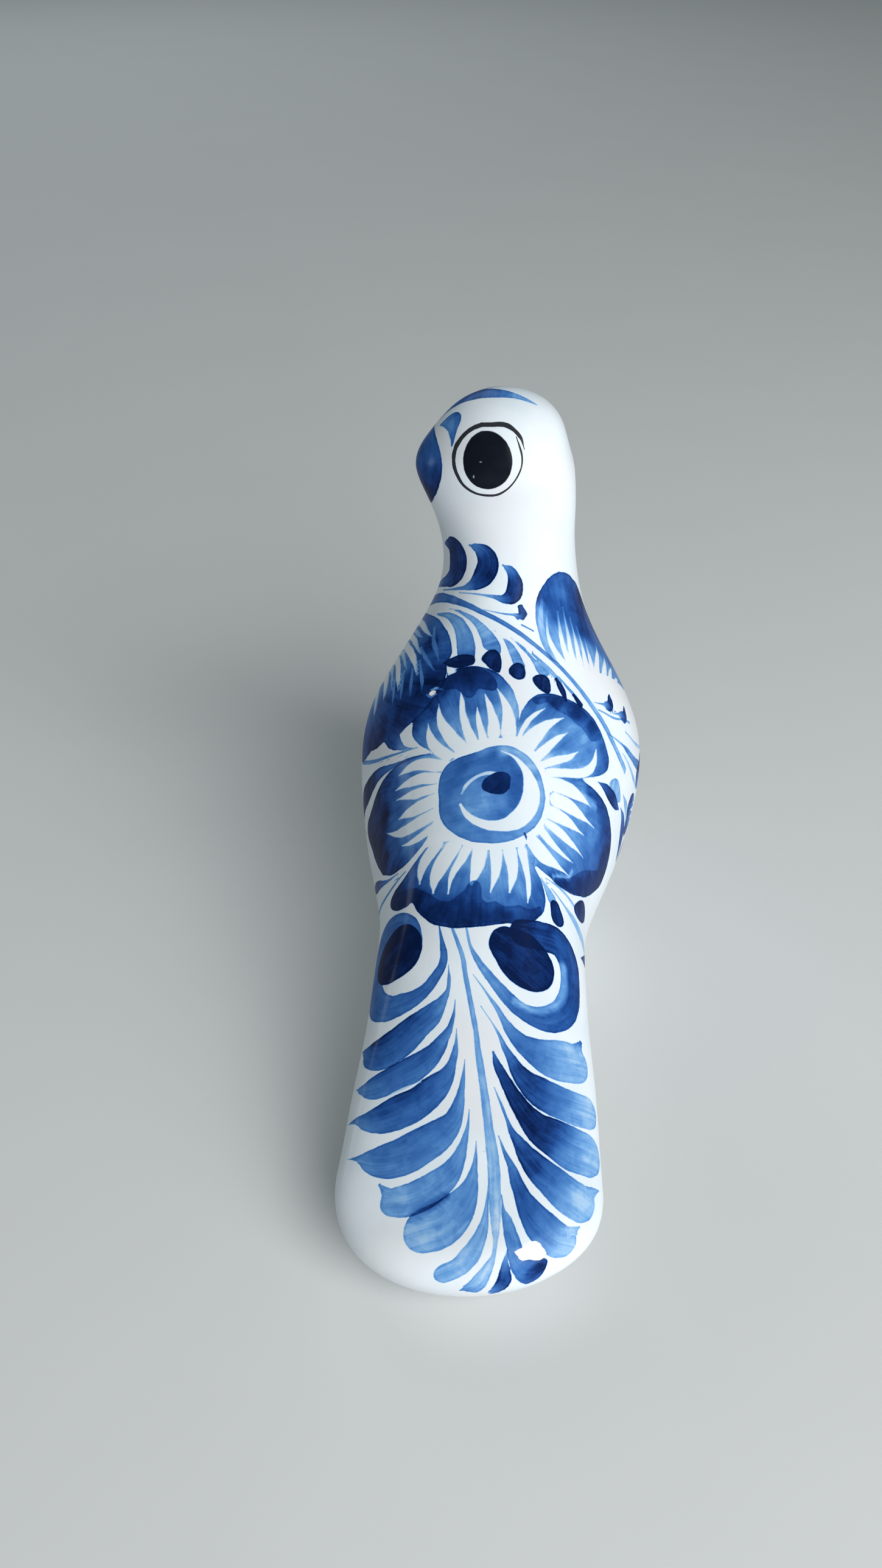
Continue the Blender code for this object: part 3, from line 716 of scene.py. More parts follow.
# %% The disc with its scroll
DISC = [(-15.2, 141), (-14.8, 144.4), (-13, 147), (-10, 148.6), (-7, 149.5), (-4.5, 150.3), (-2, 151.5),
        (.4, 152.3), (3, 152.7), (6, 152.3), (9, 151), (12, 148.8), (14.5, 145.5), (16, 142), (16.8, 139),
        (16.7, 136), (16, 133), (14.5, 130), (12.5, 127.8), (10, 125.8), (7, 124.1), (4, 123.1), (0, 122.8),
        (-3, 123), (-6, 124), (-9, 125.8), (-11.5, 128), (-13.3, 130.5), (-14.2, 133), (-14.5, 136),
        (-15.1, 139)]
fill(wash_1, DISC,
     [(-7, 148, .82), (0, 149.3, .82), (5, 148, .8), (8.3, 144, .84), (8.8, 139.5, .86), (7.5, 135.5, .8),
      (5.5, 132.5, .68), (-12, 143, .76), (-13, 136, .68), (-11, 130.5, .66), (-6, 126.5, .62),
      (0, 124.8, .62), (6, 126, .58), (11, 129.3, .5), (14.3, 133, .44), (15.7, 138, .4), (15, 143, .4),
      (12.5, 147.5, .38), (8, 151, .36), (3, 151.8, .36), (-2, 151, .5), (-3, 146.5, .72), (-8.5, 141, .66),
      (-9, 136, .62), (-4, 138.5, .52), (-1, 135, .5), (-4, 132.5, .48), (1, 131.5, .52), (3.5, 135, .6),
      (-4.5, 143.5, .66)], centre=(-70, 120))
brush(clean, [(3, 150.6, .1), (5.6, 149.7, .35), (8.3, 147.7, .75), (10.3, 145.3, 1.2), (11.7, 142.5, 2),
              (12.4, 139.2, 2.6), (12.1, 136.2, 2.8), (11, 133.5, 2.7), (9.3, 131.2, 2.6), (7, 129.3, 2.1),
              (4, 128.3, 1.6), (1, 128.1, 1.4), (-1.6, 128.8, 1.2), (-4.2, 130.1, .95), (-6.2, 131.9, .65),
              (-7.3, 133.6, .4)], .97)
brush(clean, [(1.3, 143.8, .4), (-.5, 143.8, .55), (-3, 143, .45), (-5.3, 141.5, .5), (-6.8, 139.8, .55),
              (-7.4, 138.4, .3)], (.85, .85, .8, .8, .85, .6))
fill(touch,
     [(-2.3, 140), (-1.5, 142), (0, 143.2), (1.5, 144.2), (4, 144.5), (5.8, 143.5), (6, 141), (5.6, 139),
      (4.5, 137.8), (2.5, 137.4), (0, 137.8), (-2, 139)], .97, FLOWER)
print("points painted, with the disc:", painted_points())

# %% [markdown]
# ## Wings, vine and neck
# On each shoulder another flower begins, and its petals reach on to the back. Above the big flower a vine
# crosses from one side to the other, with leaves that swell into dark drops. Three commas close the pattern
# below the neck, and the head is left white but for the face.

# %% The dark petal of the left side flower
fill(petals,
     [(-50, 161), (-45, 160), (-40, 160.3), (-38.5, 158.8), (-37, 157.5), (-34.5, 156.3), (-31, 155.2),
      (-27, 154.5), (-24.5, 154.3), (-27.5, 155), (-29.5, 156), (-30.8, 157.3), (-32.3, 160), (-30, 161.2),
      (-27, 162.5), (-24, 164), (-20, 168), (-17.5, 173), (-16.8, 176), (-17, 178), (-17.6, 179.3),
      (-16.8, 179.6), (-16, 180.6), (-15.7, 181.8), (-15.9, 183.3), (-16.3, 185), (-17.1, 186.7),
      (-18.1, 188.3), (-20, 190.1), (-21.9, 191.7), (-23.9, 192.7), (-26, 193.3), (-28, 193.9),
      (-32, 194.7), (-36, 195.4), (-40, 195.9), (-44, 196.3), (-50, 196), (-56, 193.8), (-60, 189.5),
      (-61.3, 184), (-62, 179), (-63.5, 173), (-66, 168), (-66.5, 165), (-65, 162.9), (-62, 161.9),
      (-56, 160.9)],
     [(-18, 184.5, .8), (-19, 188, .78), (-24, 191.5, .77), (-28, 192, .75), (-34, 194, .72),
      (-40, 195, .72), (-30, 187.5, .8), (-24, 186, .93), (-18, 181, .88), (-20, 176, .97), (-24, 172, .98),
      (-32, 166, .97), (-42, 164, .97), (-50, 165, .92), (-38, 158.5, .88), (-28, 154.8, .5),
      (-32, 175, .9), (-26, 180, .85), (-38, 171, .88), (-45, 169, .85), (-35, 182, .62), (-42, 178, .66),
      (-42, 188, .5), (-50, 183, .45), (-52, 170, .8), (-57, 176, .6), (-62, 166, .9), (-68, 172, .6)],
     centre=(-65, 183), smooth=False)
HAIRS = [
    ([(-60, 193.5, .7), (-50, 194.3, .6), (-43, 193.8, .6), (-40, 193.4, .7), (-37, 192.9, .7),
      (-34, 192.1, .75), (-31, 190.9, .75), (-29, 189.9, .6), (-27, 188.9, .4), (-25.3, 188, .12)],
     (.97, .95, .9, .8)),
    ([(-50, 192.2, .4), (-43, 191.8, .35), (-40, 191.2, .4), (-37, 190.5, .45), (-34, 189.5, .5),
      (-32, 188.8, .35), (-30.5, 188.3, .12)], (.7, .6, .5)),
    ([(-60, 189, .8), (-50, 190.7, .75), (-43, 190.2, .7), (-40, 189.6, .65), (-37, 188.7, .7),
      (-34, 187.4, .8), (-32.5, 186.6, .7), (-31, 185.4, .5), (-29.7, 184.3, .35), (-28.6, 183.4, .12)],
     (.97, .95, .85, .65)),
    ([(-60, 186, .9), (-48, 187.8, .7), (-44, 187.9, .85), (-41, 187.3, .9), (-38, 186.2, .95),
      (-35, 184.9, 1), (-33, 183.6, 1.05), (-31.5, 182.4, 1), (-30.2, 181, .75), (-29.4, 179.6, .5),
      (-28.8, 178.4, .35), (-28.3, 177.4, .12)],
     (.97, .97, .97, .93, .7)),
    ([(-56, 185, .6), (-50, 186.2, .6), (-46, 186.3, .5), (-43, 185.8, .55), (-40, 184.9, .6),
      (-38, 183.6, .55), (-36, 182, .5), (-35, 181, .4), (-34, 180, .15)],
     (.8, .75, .7, .6, .4)),
    ([(-60, 182.5, .9), (-52, 184.5, .9), (-48, 184.6, .95), (-45, 184.2, .95), (-42, 182.9, .95),
      (-40, 181.5, 1.05), (-38.5, 179.8, 1.1), (-37.3, 178, .95), (-36.6, 176.6, .7), (-36.2, 175.2, .3),
      (-36, 174.4, .1)],
     (.97, .97, .95, .92, .65)),
    ([(-54, 182.6, .6), (-50, 182.9, .6), (-47, 182.3, .65), (-44.5, 181.2, .6), (-42.5, 179.6, .5),
      (-41.2, 178, .45), (-40.5, 176.6, .35), (-39.9, 175.4, .12)], (.75, .7, .6, .4)),
    ([(-62, 179.5, .9), (-56, 181, 1), (-52, 181.2, 1.1), (-49, 180.2, 1.15), (-47, 178.9, 1.25),
      (-45.5, 177.5, 1.2), (-44.6, 176, 1), (-44.2, 174.8, .7), (-44, 173.8, .15)], (.97, .97, .9, .65)),
    ([(-62, 177, .9), (-58, 178.5, .9), (-55, 177.6, 1.1), (-53, 176, 1.2), (-51.5, 174.3, 1.3),
      (-50.8, 172.8, 1), (-50.4, 171.4, .2)], (.93, .85, .65)),
]
HAIR_SWELL = 1.15       # how much wider than listed the hairs are laid
for number, (hair, tones) in enumerate(HAIRS):
    pressed = [(u, v, HAIR_SWELL * width) for u, v, width in hair]
    brush(WIPES[number % 2], pressed, tones)
FAINT_HAIRS = [
    [(-27.4, 180, .4), (-26, 176.5, .6), (-25.5, 175, .7), (-25.1, 173.4, .5), (-25, 172.3, .15)],
    [(-30.3, 178, .4), (-30, 176, .6), (-29.8, 174, .6), (-29.5, 171.5, .2)],
    [(-34.5, 178, .5), (-34.3, 176, .7), (-34, 174, .7), (-33.8, 171.5, .2)],
    [(-38.6, 177, .5), (-38.3, 175, .6), (-37.8, 173, .6), (-37.5, 170.5, .2)],
    [(-24, 189, .5), (-23, 185.5, .8), (-21.7, 183.5, .7), (-20.4, 180.7, .2)],
    [(-28, 184, .5), (-26.5, 182.5, .6), (-24.5, 180.5, .6), (-21.8, 177.6, .2)],
]
for number, hair in enumerate(FAINT_HAIRS, 1):
    brush(WIPES[number % 2], hair, (.3, .36, .22))
brush(wipes_a, [(-22, 169.2, .2), (-21.3, 168.8, .3), (-20.2, 169.2, .2)], .4)
brush(wipes_a, [(-20.6, 171.2, .2), (-19.6, 171.3, .4), (-18.3, 170.9, .2)], .5)
fill(clean, [(-16.9, 177.3), (-15.2, 176.9), (-13, 176.2), (-14.8, 175.4), (-16.5, 174.8), (-16.2, 176)], .95,
     smooth=False)
print("hairs:", len(HAIRS) + len(FAINT_HAIRS), "points painted:", painted_points())

# %% The petal of the right side flower, over the shoulder
fill(petals,
     [(11.1, 186.4), (10, 189.8), (9.3, 192.5), (9.1, 195.9), (9.5, 198.5), (10.2, 200.3), (11.4, 202.3),
      (13, 204.3), (15.5, 206), (18, 206.8), (21, 206.9), (24.5, 206.6), (28, 205.5), (31, 204.8),
      (34, 203.3), (38, 201), (43, 197.5), (48, 193.2), (52.4, 188.4), (55, 184.4), (55.2, 182.3),
      (53.4, 181.2), (50, 181.3), (46, 181.3), (40, 181.3), (34, 181), (28, 180.6), (22, 180.4),
      (17.5, 180), (14.8, 180.6), (12.5, 183.7)],
     [(11.5, 199.5, .88), (13, 203, .84), (16, 197.5, .85), (19, 202, .72), (22, 205.5, .84),
      (26, 202, .92), (30, 197, .95), (34, 201, .95), (42, 194, .93), (10.5, 193, .5), (12, 189, .42),
      (13.5, 185, .4), (15.5, 194.5, .84), (20, 196, .86), (24, 193, .82), (28, 192, .9), (33, 191, .9),
      (20, 190, .5), (38, 188, .78), (44, 187, .78), (17.5, 186, .38), (22, 186, .36), (26, 185.5, .4),
      (30, 185, .45), (35, 184.5, .45), (40, 184, .5), (46, 184, .55), (19, 182, .25), (25, 182, .25),
      (30, 182, .28), (36, 182, .3)], centre=(32, 166), smooth=False)
PETAL_WEDGES = [
    [(13, 194, .3), (13.2, 190.5, .35), (13.7, 187.5, .6), (15.1, 184.7, .85), (17, 182.2, 1),
     (19.2, 180, 1.2)],
    [(17.3, 194.5, .35), (17.7, 191, .5), (18.1, 188.2, .75), (18.9, 185.2, .9), (20.3, 182.2, 1.1),
     (21.6, 179.6, 1.2)],
    [(19.8, 196, .35), (20.6, 191, .45), (21, 188.2, .7), (21.4, 185, .95), (22.4, 181.6, 1.2),
     (23.3, 179, 1.3)],
    [(22.8, 193.5, .3), (23.5, 190, .4), (23.9, 187.2, .7), (24.3, 184, 1), (25, 181, 1.2),
     (25.6, 178.8, 1.3)],
    [(25.6, 191.5, .3), (26.3, 188, .4), (26.7, 185.6, .7), (27, 183, 1), (27.5, 180.8, 1.2),
     (28, 178.8, 1.3)],
    [(28.6, 188.6, .3), (28.9, 186.4, .4), (29.2, 184.5, .7), (29.6, 182, 1), (30, 180, 1.2),
     (30.3, 178.6, 1.3)],
    [(35.4, 188.5, .15), (34.9, 187.2, .45), (33.8, 185.5, .85), (32.5, 183, 1.15), (31.8, 180.6, 1.3)],
    [(39.5, 186.4, .15), (38.8, 185.5, .4), (37.8, 184.2, .75), (36.5, 182.5, 1.05), (35.5, 180.6, 1.3)],
    [(43.6, 184.8, .15), (42.7, 184.1, .35), (41.2, 183.2, .65), (40, 182, .95), (39, 180.3, 1.2)],
    [(46.6, 182.5, .15), (45.7, 182, .35), (44.4, 181.6, .6), (43, 180.6, .9)],
]
FAINT_STARTS = 6        # the first wedges start as faint lines
for number, wedge in enumerate(PETAL_WEDGES):
    tones = (.2, .75, .95, .97, .97) if number < FAINT_STARTS else (.4, .85, .95, .97)
    brush(WIPES[number % 2], wedge, tones)
change_tone(petals, [(10.8, 190, 1.2), (11.1, 194, 1.3), (11.4, 197, 1)], -.12)
brush(wipes_b, [(11.1, 197, .4), (11, 193, .8), (11.6, 189.5, .7), (13, 186, .3)], (.15, .35, .3, .2))
print("points painted, with the right petal:", painted_points())

# %% The vine and its leaves
brush(wash_2,
      [(-52, 198.5, 1.4), (-45, 199, 1.4), (-35, 199, 1.4), (-25, 198.6, 1.3), (-18, 197.4, 1.1),
       (-12, 195.6, .85), (-6, 193, .7), (0, 190.2, .65), (5, 187.4, .65), (10, 184.2, .6), (15, 181, .6),
       (20, 177.5, .6), (25, 173.7, .65), (30, 170, .75), (35, 166.8, .8), (40, 163.7, .8), (45, 161.5, .8),
       (50, 160, .8)],
      (.7, .7, .7, .7, .65, .6, .5, .45, .4, .38, .36, .35))
brush(wash_1, [(-24, 193.8, .3), (-18, 192.6, 1), (-14.2, 190, 1.9), (-12.2, 186.5, 2.6), (-11.2, 183, 2.9),
               (-11, 181, 2.8)], (.4, .42, .45, .5, .6, .8))
brush(wash_3, [(-17.3, 178.8, .3), (-15.4, 178.8, 1.3), (-12.6, 179, 2), (-10, 179.2, 1.7)], .97)
fill(wash_3, [(-20, 195), (-16, 194.6), (-12, 193.3), (-8, 191.3), (-4.5, 188.5), (-1.8, 185.5), (-.6, 183),
              (-.9, 181), (-3, 181.6), (-5.8, 183), (-6.5, 185), (-7.5, 187), (-9, 189.5), (-12, 192),
              (-16, 194)], [(-17, 194.4, .4), (-9, 190.5, .4), (-5, 186.5, .42), (-3, 183, .6)],
     centre=(-20, 180))
fill(wash_1, [(-6.3, 179.5), (-5.5, 181), (-4, 182.2), (-2.3, 182.4), (-.8, 181), (-.2, 178.8), (-.2, 176.8),
              (-.7, 175.4), (-2.5, 176), (-4.8, 177.8)], .97)
fill(wash_3, [(-3.5, 188.5), (0, 186), (2.5, 184.5), (4.5, 182), (6, 179.5), (6.8, 177.5), (4.2, 177.4),
              (2.3, 180.5), (1.3, 183), (0, 185.3), (-2, 187.5)],
     [(-2, 187.5, .38), (2, 183.5, .4), (5, 179.5, .5)], centre=(-12, 176))
fill(wash_1, [(2, 176.3), (3, 178), (4.5, 178.8), (5.8, 178.6), (6.8, 177.3), (7.1, 175.8), (6.8, 174.2),
              (5.5, 173.6), (3.5, 174.2), (2.3, 175.3)], .97)
fill(wash_3,
     [(2, 186.3), (6, 183.7), (9, 181), (12, 178.5), (14, 176), (12.6, 175.2), (10.3, 177), (9.5, 178.5),
      (8, 180.5), (5, 183.5)],
     [(4, 184.8, .38), (9, 180, .4), (12, 176.5, .5)], centre=(-6, 170))
fill(wash_1,
     [(9.2, 174.3), (10.3, 175.6), (12.5, 176), (14, 175.3), (14.8, 173.5), (15, 171.5), (14.5, 170.3),
      (13, 170.6), (10.5, 172.3), (9.4, 173.6)], .97)
brush(wash_3, [(9, 182, .1), (12, 179.5, .5), (14.5, 177.5, .7), (16.7, 175.7, .6)], .42)
brush(wash_1, [(17, 174.7, .5), (18, 173.3, .9), (19.2, 171.5, .8), (19.8, 170.3, .4)], .95)
brush(wash_3, [(17.6, 176, .1), (20, 173.8, .4), (22.5, 172, .5)], .42)
brush(wash_1, [(23.2, 171.2, .5), (24.6, 170, .8)], .95)
print("points painted, with the vine:", painted_points())

# %% The neck's commas
brush(wash_1, [(-25.8, 213.4, .3), (-22, 213, 1.6), (-18.8, 211, 4), (-18.3, 208, 5), (-19.5, 205.2, 3.6),
               (-24, 203.6, 1.9), (-30, 203.2, 1.1), (-37, 203, .5), (-44, 201.8, .3)],
      (.75, .9, .95, .93, .9, .8, .7, .6, .5))
brush(wash_3, [(-10.9, 212.7, .3), (-8.8, 212, 1.4), (-6.6, 210.2, 2.8), (-5.9, 207.5, 3.3), (-7, 204.5, 3.4),
               (-9.3, 202.2, 2.2), (-12.5, 201, .9), (-18, 200.6, .35), (-25, 200.8, .2)],
      (.6, .7, .9, .95, .95, .85, .6, .45, .4))
brush(wash_1, [(-.6, 206.9, .3), (.9, 205.9, 1.1), (2.1, 203.5, 1.8), (2.5, 200.8, 2.4), (1.9, 198.4, 2.3),
               (-.3, 197.5, 1.2), (-4, 198, .5), (-9, 198.7, .25), (-15, 199.3, .15)],
      (.5, .7, .9, .95, .95, .8, .5, .4, .35))
brush(wash_3, [(4.8, 194.6, .8), (5.3, 193, 1.1), (4.4, 192.6, .8), (3.5, 192.8, .5), (0, 193, .25),
               (-6, 194, .12)], (.9, .9, .7, .4, .35, .3))
brush(wash_3, [(6, 189.8, .25), (8, 189, .2)], .5)
print("points painted, with the commas:", painted_points())

# %% Small strokes towards the left side
brush(wash_2, [(-62, 162, .5), (-56, 160, .5), (-50, 158.2, .5), (-45, 156.8, .45), (-38, 155.5, .4),
               (-32, 154.7, .3), (-25, 154.2, .15)], .45)
brush(wash_2, [(-66, 152, 2.4), (-60, 152.2, 2.8), (-54, 152, 2.8), (-48, 152.4, 2.2), (-42, 152.5, 1.5),
               (-37, 152.1, .9), (-32, 151.7, .55), (-26, 151.5, .35), (-20, 151.2, .25)],
      (.9, .95, .97, .95, .85, .7, .6, .5, .5))
brush(wash_2, [(-63, 129, .6), (-57, 127, 1.2), (-52, 125.3, 1.5), (-46, 123.2, 1.2), (-40, 121, .7),
               (-35, 119.7, .4), (-30, 119.3, .15)], (.8, .9, .9, .85, .7, .5, .4))
brush(wash_2,
      [(-61, 122, .8), (-55, 118.8, .8), (-50, 117.2, .7), (-44, 115.9, .6), (-38, 115.5, .5),
       (-32, 116.4, .4), (-26, 118, .2)], .48)
print("points painted, with the small strokes on the left:", painted_points())

# %% Small strokes towards the right side
brush(wash_1, [(31, 171.7, .1), (35, 172.3, .5), (37.5, 172.8, 1.5), (37.2, 174.6, .4)], (.3, .4, .95, .9))
brush(wash_1, [(39, 171, .1), (43, 172, .5), (46.5, 172.5, 1.5), (46.4, 174, .4)], (.3, .4, .95, .9))
brush(wash_3, [(33, 170, .2), (40, 170, .3), (46, 171.5, .3), (50, 172, .3)], .35)
brush(wash_3, [(38, 164.9, .15), (44, 164.8, .3), (50, 164.6, .3)], .3)
brush(wash_3, [(36.7, 151.1, .1), (39.5, 151.2, .8), (43, 150.9, 1.6), (46.5, 150.7, 1.7), (50, 150.5, 1),
               (52, 150.6, .3)], (.7, .85, .93, .93, .85, .7))
fill(wash_1, [(42, 153), (44.5, 155.4), (47, 156), (50, 154.8), (52.6, 152.6), (51, 151.6), (47, 152.2)], .36)
brush(wash_3, [(55.5, 151.6, .2), (58.5, 151.2, .8), (62, 150, 1.7), (66, 148.4, 2.2), (71, 146, 1.2)],
      (.5, .7, .85, .9, .8))
brush(wash_1, [(55, 154.6, .3), (60, 154, 1), (66, 152.6, 1.2), (71, 151, .4)], .3)
brush(wash_2,
      [(46, 164.9, .2), (50, 164.6, .7), (55, 164.6, .8), (60, 165, 1), (66, 166, 1.2), (73, 167.6, .5)],
      (.3, .5, .5, .6, .7, .6))
brush(wash_1, [(48, 162.8, .15), (54, 162, .4), (60, 161.4, .5), (67, 161.4, .3)], .2)
brush(wash_1, [(48, 168.6, .15), (55, 168.6, .3), (62, 169.6, .5), (70, 171.6, .3)], .2)
brush(wash_2, [(20, 116.5, .15), (25, 115.8, .4), (30, 114.8, .5), (33, 114, .6)], .25)
fill(wash_1, [(32.5, 113.5), (33, 114.5), (35, 116.5), (37.5, 118.3), (40, 119.5), (43, 119.3), (44.5, 117.5),
              (44, 115.5), (42, 113.7), (39, 112.2), (35.5, 111.7), (33, 112.5)], .95)
brush(wash_2, [(18, 115.3, .3), (19.8, 113.3, .9), (21.5, 111.3, 1.6)], (.25, .3, .4))
brush(wash_1, [(22.8, 109.3, 1.9), (23.6, 106.8, 2.6)], .95)
brush(wash_3, [(22, 114, .2), (27, 111.5, .4), (32, 109.5, 1.2), (37, 107.5, 1.8), (43, 105, 2)], .25)
brush(wash_1, [(37, 100, .3), (41, 101, 1.6), (46, 103, 2.4)], .9)
print("points painted, with the small strokes on the right:", painted_points())

# %% [markdown]
# ## The sides and the breast
# The photograph doesn't show these sides, so they are painted in keeping and plainer. Each shoulder carries
# a round flower of the same make as the big one, and on the breast a stem with feathers climbs towards the
# neck.

# %% Side flowers
# Marks on a petal: a share of its half spread, a share of its length, and a tone where the paint changes
PETAL_EDGE = ((-.5, .38), (-.82, .6), (-1, .8), (-.82, .95), (-.4, 1.03), (.1, .98), (.5, 1.02), (.86, .92),
              (1, .76), (.84, .57), (.5, .38))
PETAL_TONES = ((0, .95, .95), (-.7, .88, .92), (.7, .88, .9), (0, .72, .68), (-.6, .62, .6), (.6, .62, .58),
               (0, .45, .36))
WEDGE_TIPS = ((-.62, .62), (-.22, .74), (.2, .68), (.62, .6))


def around(centre, turn, reach):
    """A point at an angle in degrees and a distance from a flower's centre."""
    angle = math.radians(turn)
    return centre[0] + reach * math.cos(angle), centre[1] + reach * math.sin(angle)


def side_petal(centre, turn, spread, length, where):
    """A petal with its white wedges, pointing away from the centre of a side flower."""
    def spot(share, reach):
        return around(centre, turn + spread * share, length * reach)

    outline = [spot(share, reach) for share, reach in PETAL_EDGE]
    tones = [(*spot(share, reach), tone) for share, reach, tone in PETAL_TONES]
    fill(petals, outline, tones, centre, where)
    for number, (share, tip) in enumerate(WEDGE_TIPS):
        widening = ((tip, .005), (0.7 * tip + 0.1, .028), (0.4 * tip + 0.2, .046), (.34, .05))
        wedge = [(*spot(share, reach), length * width) for reach, width in widening]
        brush(WIPES[number % 2], wedge, .95, where=where)


def flower_heart(centre, size, where):
    """The disc of a side flower, with a white scroll and a dark middle."""
    disc_edge = [around(centre, turn, size) for turn in range(0, 360, 24)]
    disc_tones = [(*around(centre, 140, 0.6 * size), .72), (*around(centre, -40, 0.7 * size), .45),
                  (*centre, .6)]
    fill(wash_1, disc_edge, disc_tones, centre, where)
    scroll = [(*around(centre, 75 - 34 * step, size * (0.72 - 0.03 * step)), size * width)
              for step, width in enumerate((.01, .07, .14, .17, .15, .09, .05, .01))]
    brush(clean, scroll, .97, where=where)
    fill(touch, [around(centre, turn, 0.2 * size) for turn in range(0, 360, 45)], .97, centre, where)


# A flower's centre along the body and up it, its petals' turn, half spread and length, and its chart
SIDE_FLOWERS = (
    ((184, 64), ((61, 21, 27), (12, 21, 26), (-37, 22, 29), (-86, 21, 28), (-135, 21, 30)), left_chart),
    ((160, 43), ((92, 25, 19), (34, 25, 21), (-26, 25, 21), (-87, 25, 20), (-148, 25, 21), (152, 25, 20)),
     right_chart),
)
HEART_SHARE = 0.27      # the size of a flower's disc, as a share of its first petal's length
for centre, side_petals, where in SIDE_FLOWERS:
    for turn, spread, length in side_petals:
        side_petal(centre, turn, spread, length, where)
    flower_heart(centre, HEART_SHARE * side_petals[0][2], where)
print("side petals:", sum(len(flower[1]) for flower in SIDE_FLOWERS), "points painted:", painted_points())

# %% The breast
brush(wash_3, [(1, 34, .3), (.4, 44, .8), (-.4, 56, 1), (-.8, 70, 1), (-.2, 84, .8), (1.4, 96, .4)], .36,
      where=breast_chart)
# Each pair of leaves by the height where it starts, mm, and its size
LEAF_PAIRS = ((38, 2.2), (49, 3), (60, 3.4), (71, 3.2), (82, 2.4))
LEAF = ((.4, 0, .05), (.9, 3.4, .3), (1.9, 7.2, .7), (3.2, 10.4, 1), (4.7, 12.6, .95), (5.9, 13.6, .4))
for number, (foot, size) in enumerate(LEAF_PAIRS):
    for side in (-1, 1):
        leaf = [(side * across * size, foot + rise, size * width) for across, rise, width in LEAF]
        brush((wash_1, wash_2)[number % 2], leaf, (.5, .65, .85, .9, .7, .5), where=breast_chart)
COMMA = ((-4.5, 124.6, .3), (-2.6, 124, 1.3), (-.8, 122, 2.5), (-.6, 119.4, 2.9), (-2, 117, 2.2),
         (-5, 115.6, .9), (-8.5, 115.2, .3))
COMMA_TONES = (.7, .9, .97, .95, .85, .6, .45)
for shift, drop in ((-9, 0), (0, -2.5), (9, -5)):
    comma = [(across + shift, up + drop, width) for across, up, width in COMMA]
    brush(wash_1, comma, COMMA_TONES, where=breast_chart)
print("points painted, with the breast:", painted_points())

# %% The face
HEAD_MIDLINE = 182.4    # the head's middle, mm from the tail end
CROWN_MIDDLE = 184.0    # where the two crescents meet, mm from the tail end
BILL = [(22.2, 162), (20.9, 160.8), (19.7, 159), (18.8, 156.5), (18.7, 154.9), (19, 152.2), (19.7, 149.2),
        (20.6, 146.3), (21.8, 143.1), (22.9, 140.1), (24.5, 138.5), (29, 138), (31, 150), (27, 162)]
fill(wash_1, BILL, [(25, 160, .76), (24, 156, .8), (22, 152, .88), (23, 145, .97), (24, 140, .95)],
     where=profile_chart)
BROW = [(16.1, 169.6), (14.9, 172.3), (13.95, 174.1), (14.1, 175.9), (15.1, 177.3), (16.7, 178.3),
        (18.5, 178.6), (20.4, 178.6), (19.6, 177.3), (18.4, 175.5), (17.4, 173.4), (16.6, 171.2)]
BROW_TONES = [(14.4, 175, .74), (15.2, 177, .86), (17.2, 178, .72), (19.6, 178, .45), (17, 175, .48),
              (16.2, 171.5, .66)]
CROWN_CRESCENT = [(-7.6, 177.7), (-5.4, 177.4), (-3.1, 177.4), (-.4, 177.5), (3.3, 177.5), (6, 177.8),
                  (8.7, 178.5), (11.5, 179.1), (14.2, 179.9), (16.9, 180.7), (19, 181.6), (21, 182.8),
                  (21.4, 184.3), (18, 184.6), (13, 184.7), (9.2, 184.4), (6.4, 183.3), (4.2, 182),
                  (1.5, 180.9), (-1.3, 179.8), (-4, 178.9)]
CRESCENT_TONES = [(18, 183, .74), (11, 181, .8), (9, 183.5, .84), (6, 180, .72), (3, 179.2, .66),
                  (-2, 178.4, .48), (-6, 177.8, .35)]
EYE_RING = [(-2.4, 164.7, .12), (-3.1, 163.2, .25), (-3.9, 160.8, .25), (-3.9, 158.3, .22), (-3, 155.8, .22),
            (-1.4, 153.3, .25), (.6, 151.3, .3), (2.9, 150, .38), (5.2, 149.7, .4), (7.9, 149.9, .4),
            (10.2, 150.7, .42), (12.5, 152.4, .46), (14, 154.5, .5), (15.1, 156.7, .54), (15.4, 159, .56),
            (15, 161.1, .54), (14, 162.9, .5), (12.5, 164.7, .46), (10.2, 166.5, .44), (7.9, 167.5, .44),
            (5.2, 167.9, .46)]
EYE_RING_END = [(7, 167.7, .42), (5.2, 167.9, .46), (3, 168.1, .5), (1.2, 168, .5), (-.9, 167.2, .46),
                (-2.4, 166.1, .42), (-3.5, 164.9, .34), (-4.15, 163.3, .1)]


def other_side(points, middle=HEAD_MIDLINE):
    """The same marks on the other side of the crown's midline."""
    return [(point[0], 2.0 * middle - point[1], *point[2:]) for point in points]


for marks, tones in ((BROW, BROW_TONES), (other_side(BROW), other_side(BROW_TONES))):
    fill(wash_2, marks, tones, where=crown_chart)
fill(wash_3, CROWN_CRESCENT, CRESCENT_TONES, where=crown_chart)
fill(wash_1, other_side(CROWN_CRESCENT, CROWN_MIDDLE), other_side(CRESCENT_TONES, CROWN_MIDDLE),
     where=crown_chart)
brush(eye_line, EYE_RING, .97, where=profile_chart)
brush(eye_line_end, EYE_RING_END, .97, where=profile_chart)
print("points painted, with the face:", painted_points())

# %% Keep the coats on the body
for coat in coats:
    for part, values in (("shape", coat.shape), ("body", coat.body)):
        kept = bird.data.attributes.new(f"{coat.name}_{part}", "FLOAT_VECTOR", "POINT")
        kept.data.foreach_set("vector", values.astype(np.float32).ravel())
bare = bird.data.attributes.new("bare_clay", "FLOAT", "POINT")
bare.data.foreach_set("value", chip_gap.clip(-FAR, FAR).astype(np.float32))
print("painted values kept at each point:", 2 * len(coats) + 1)

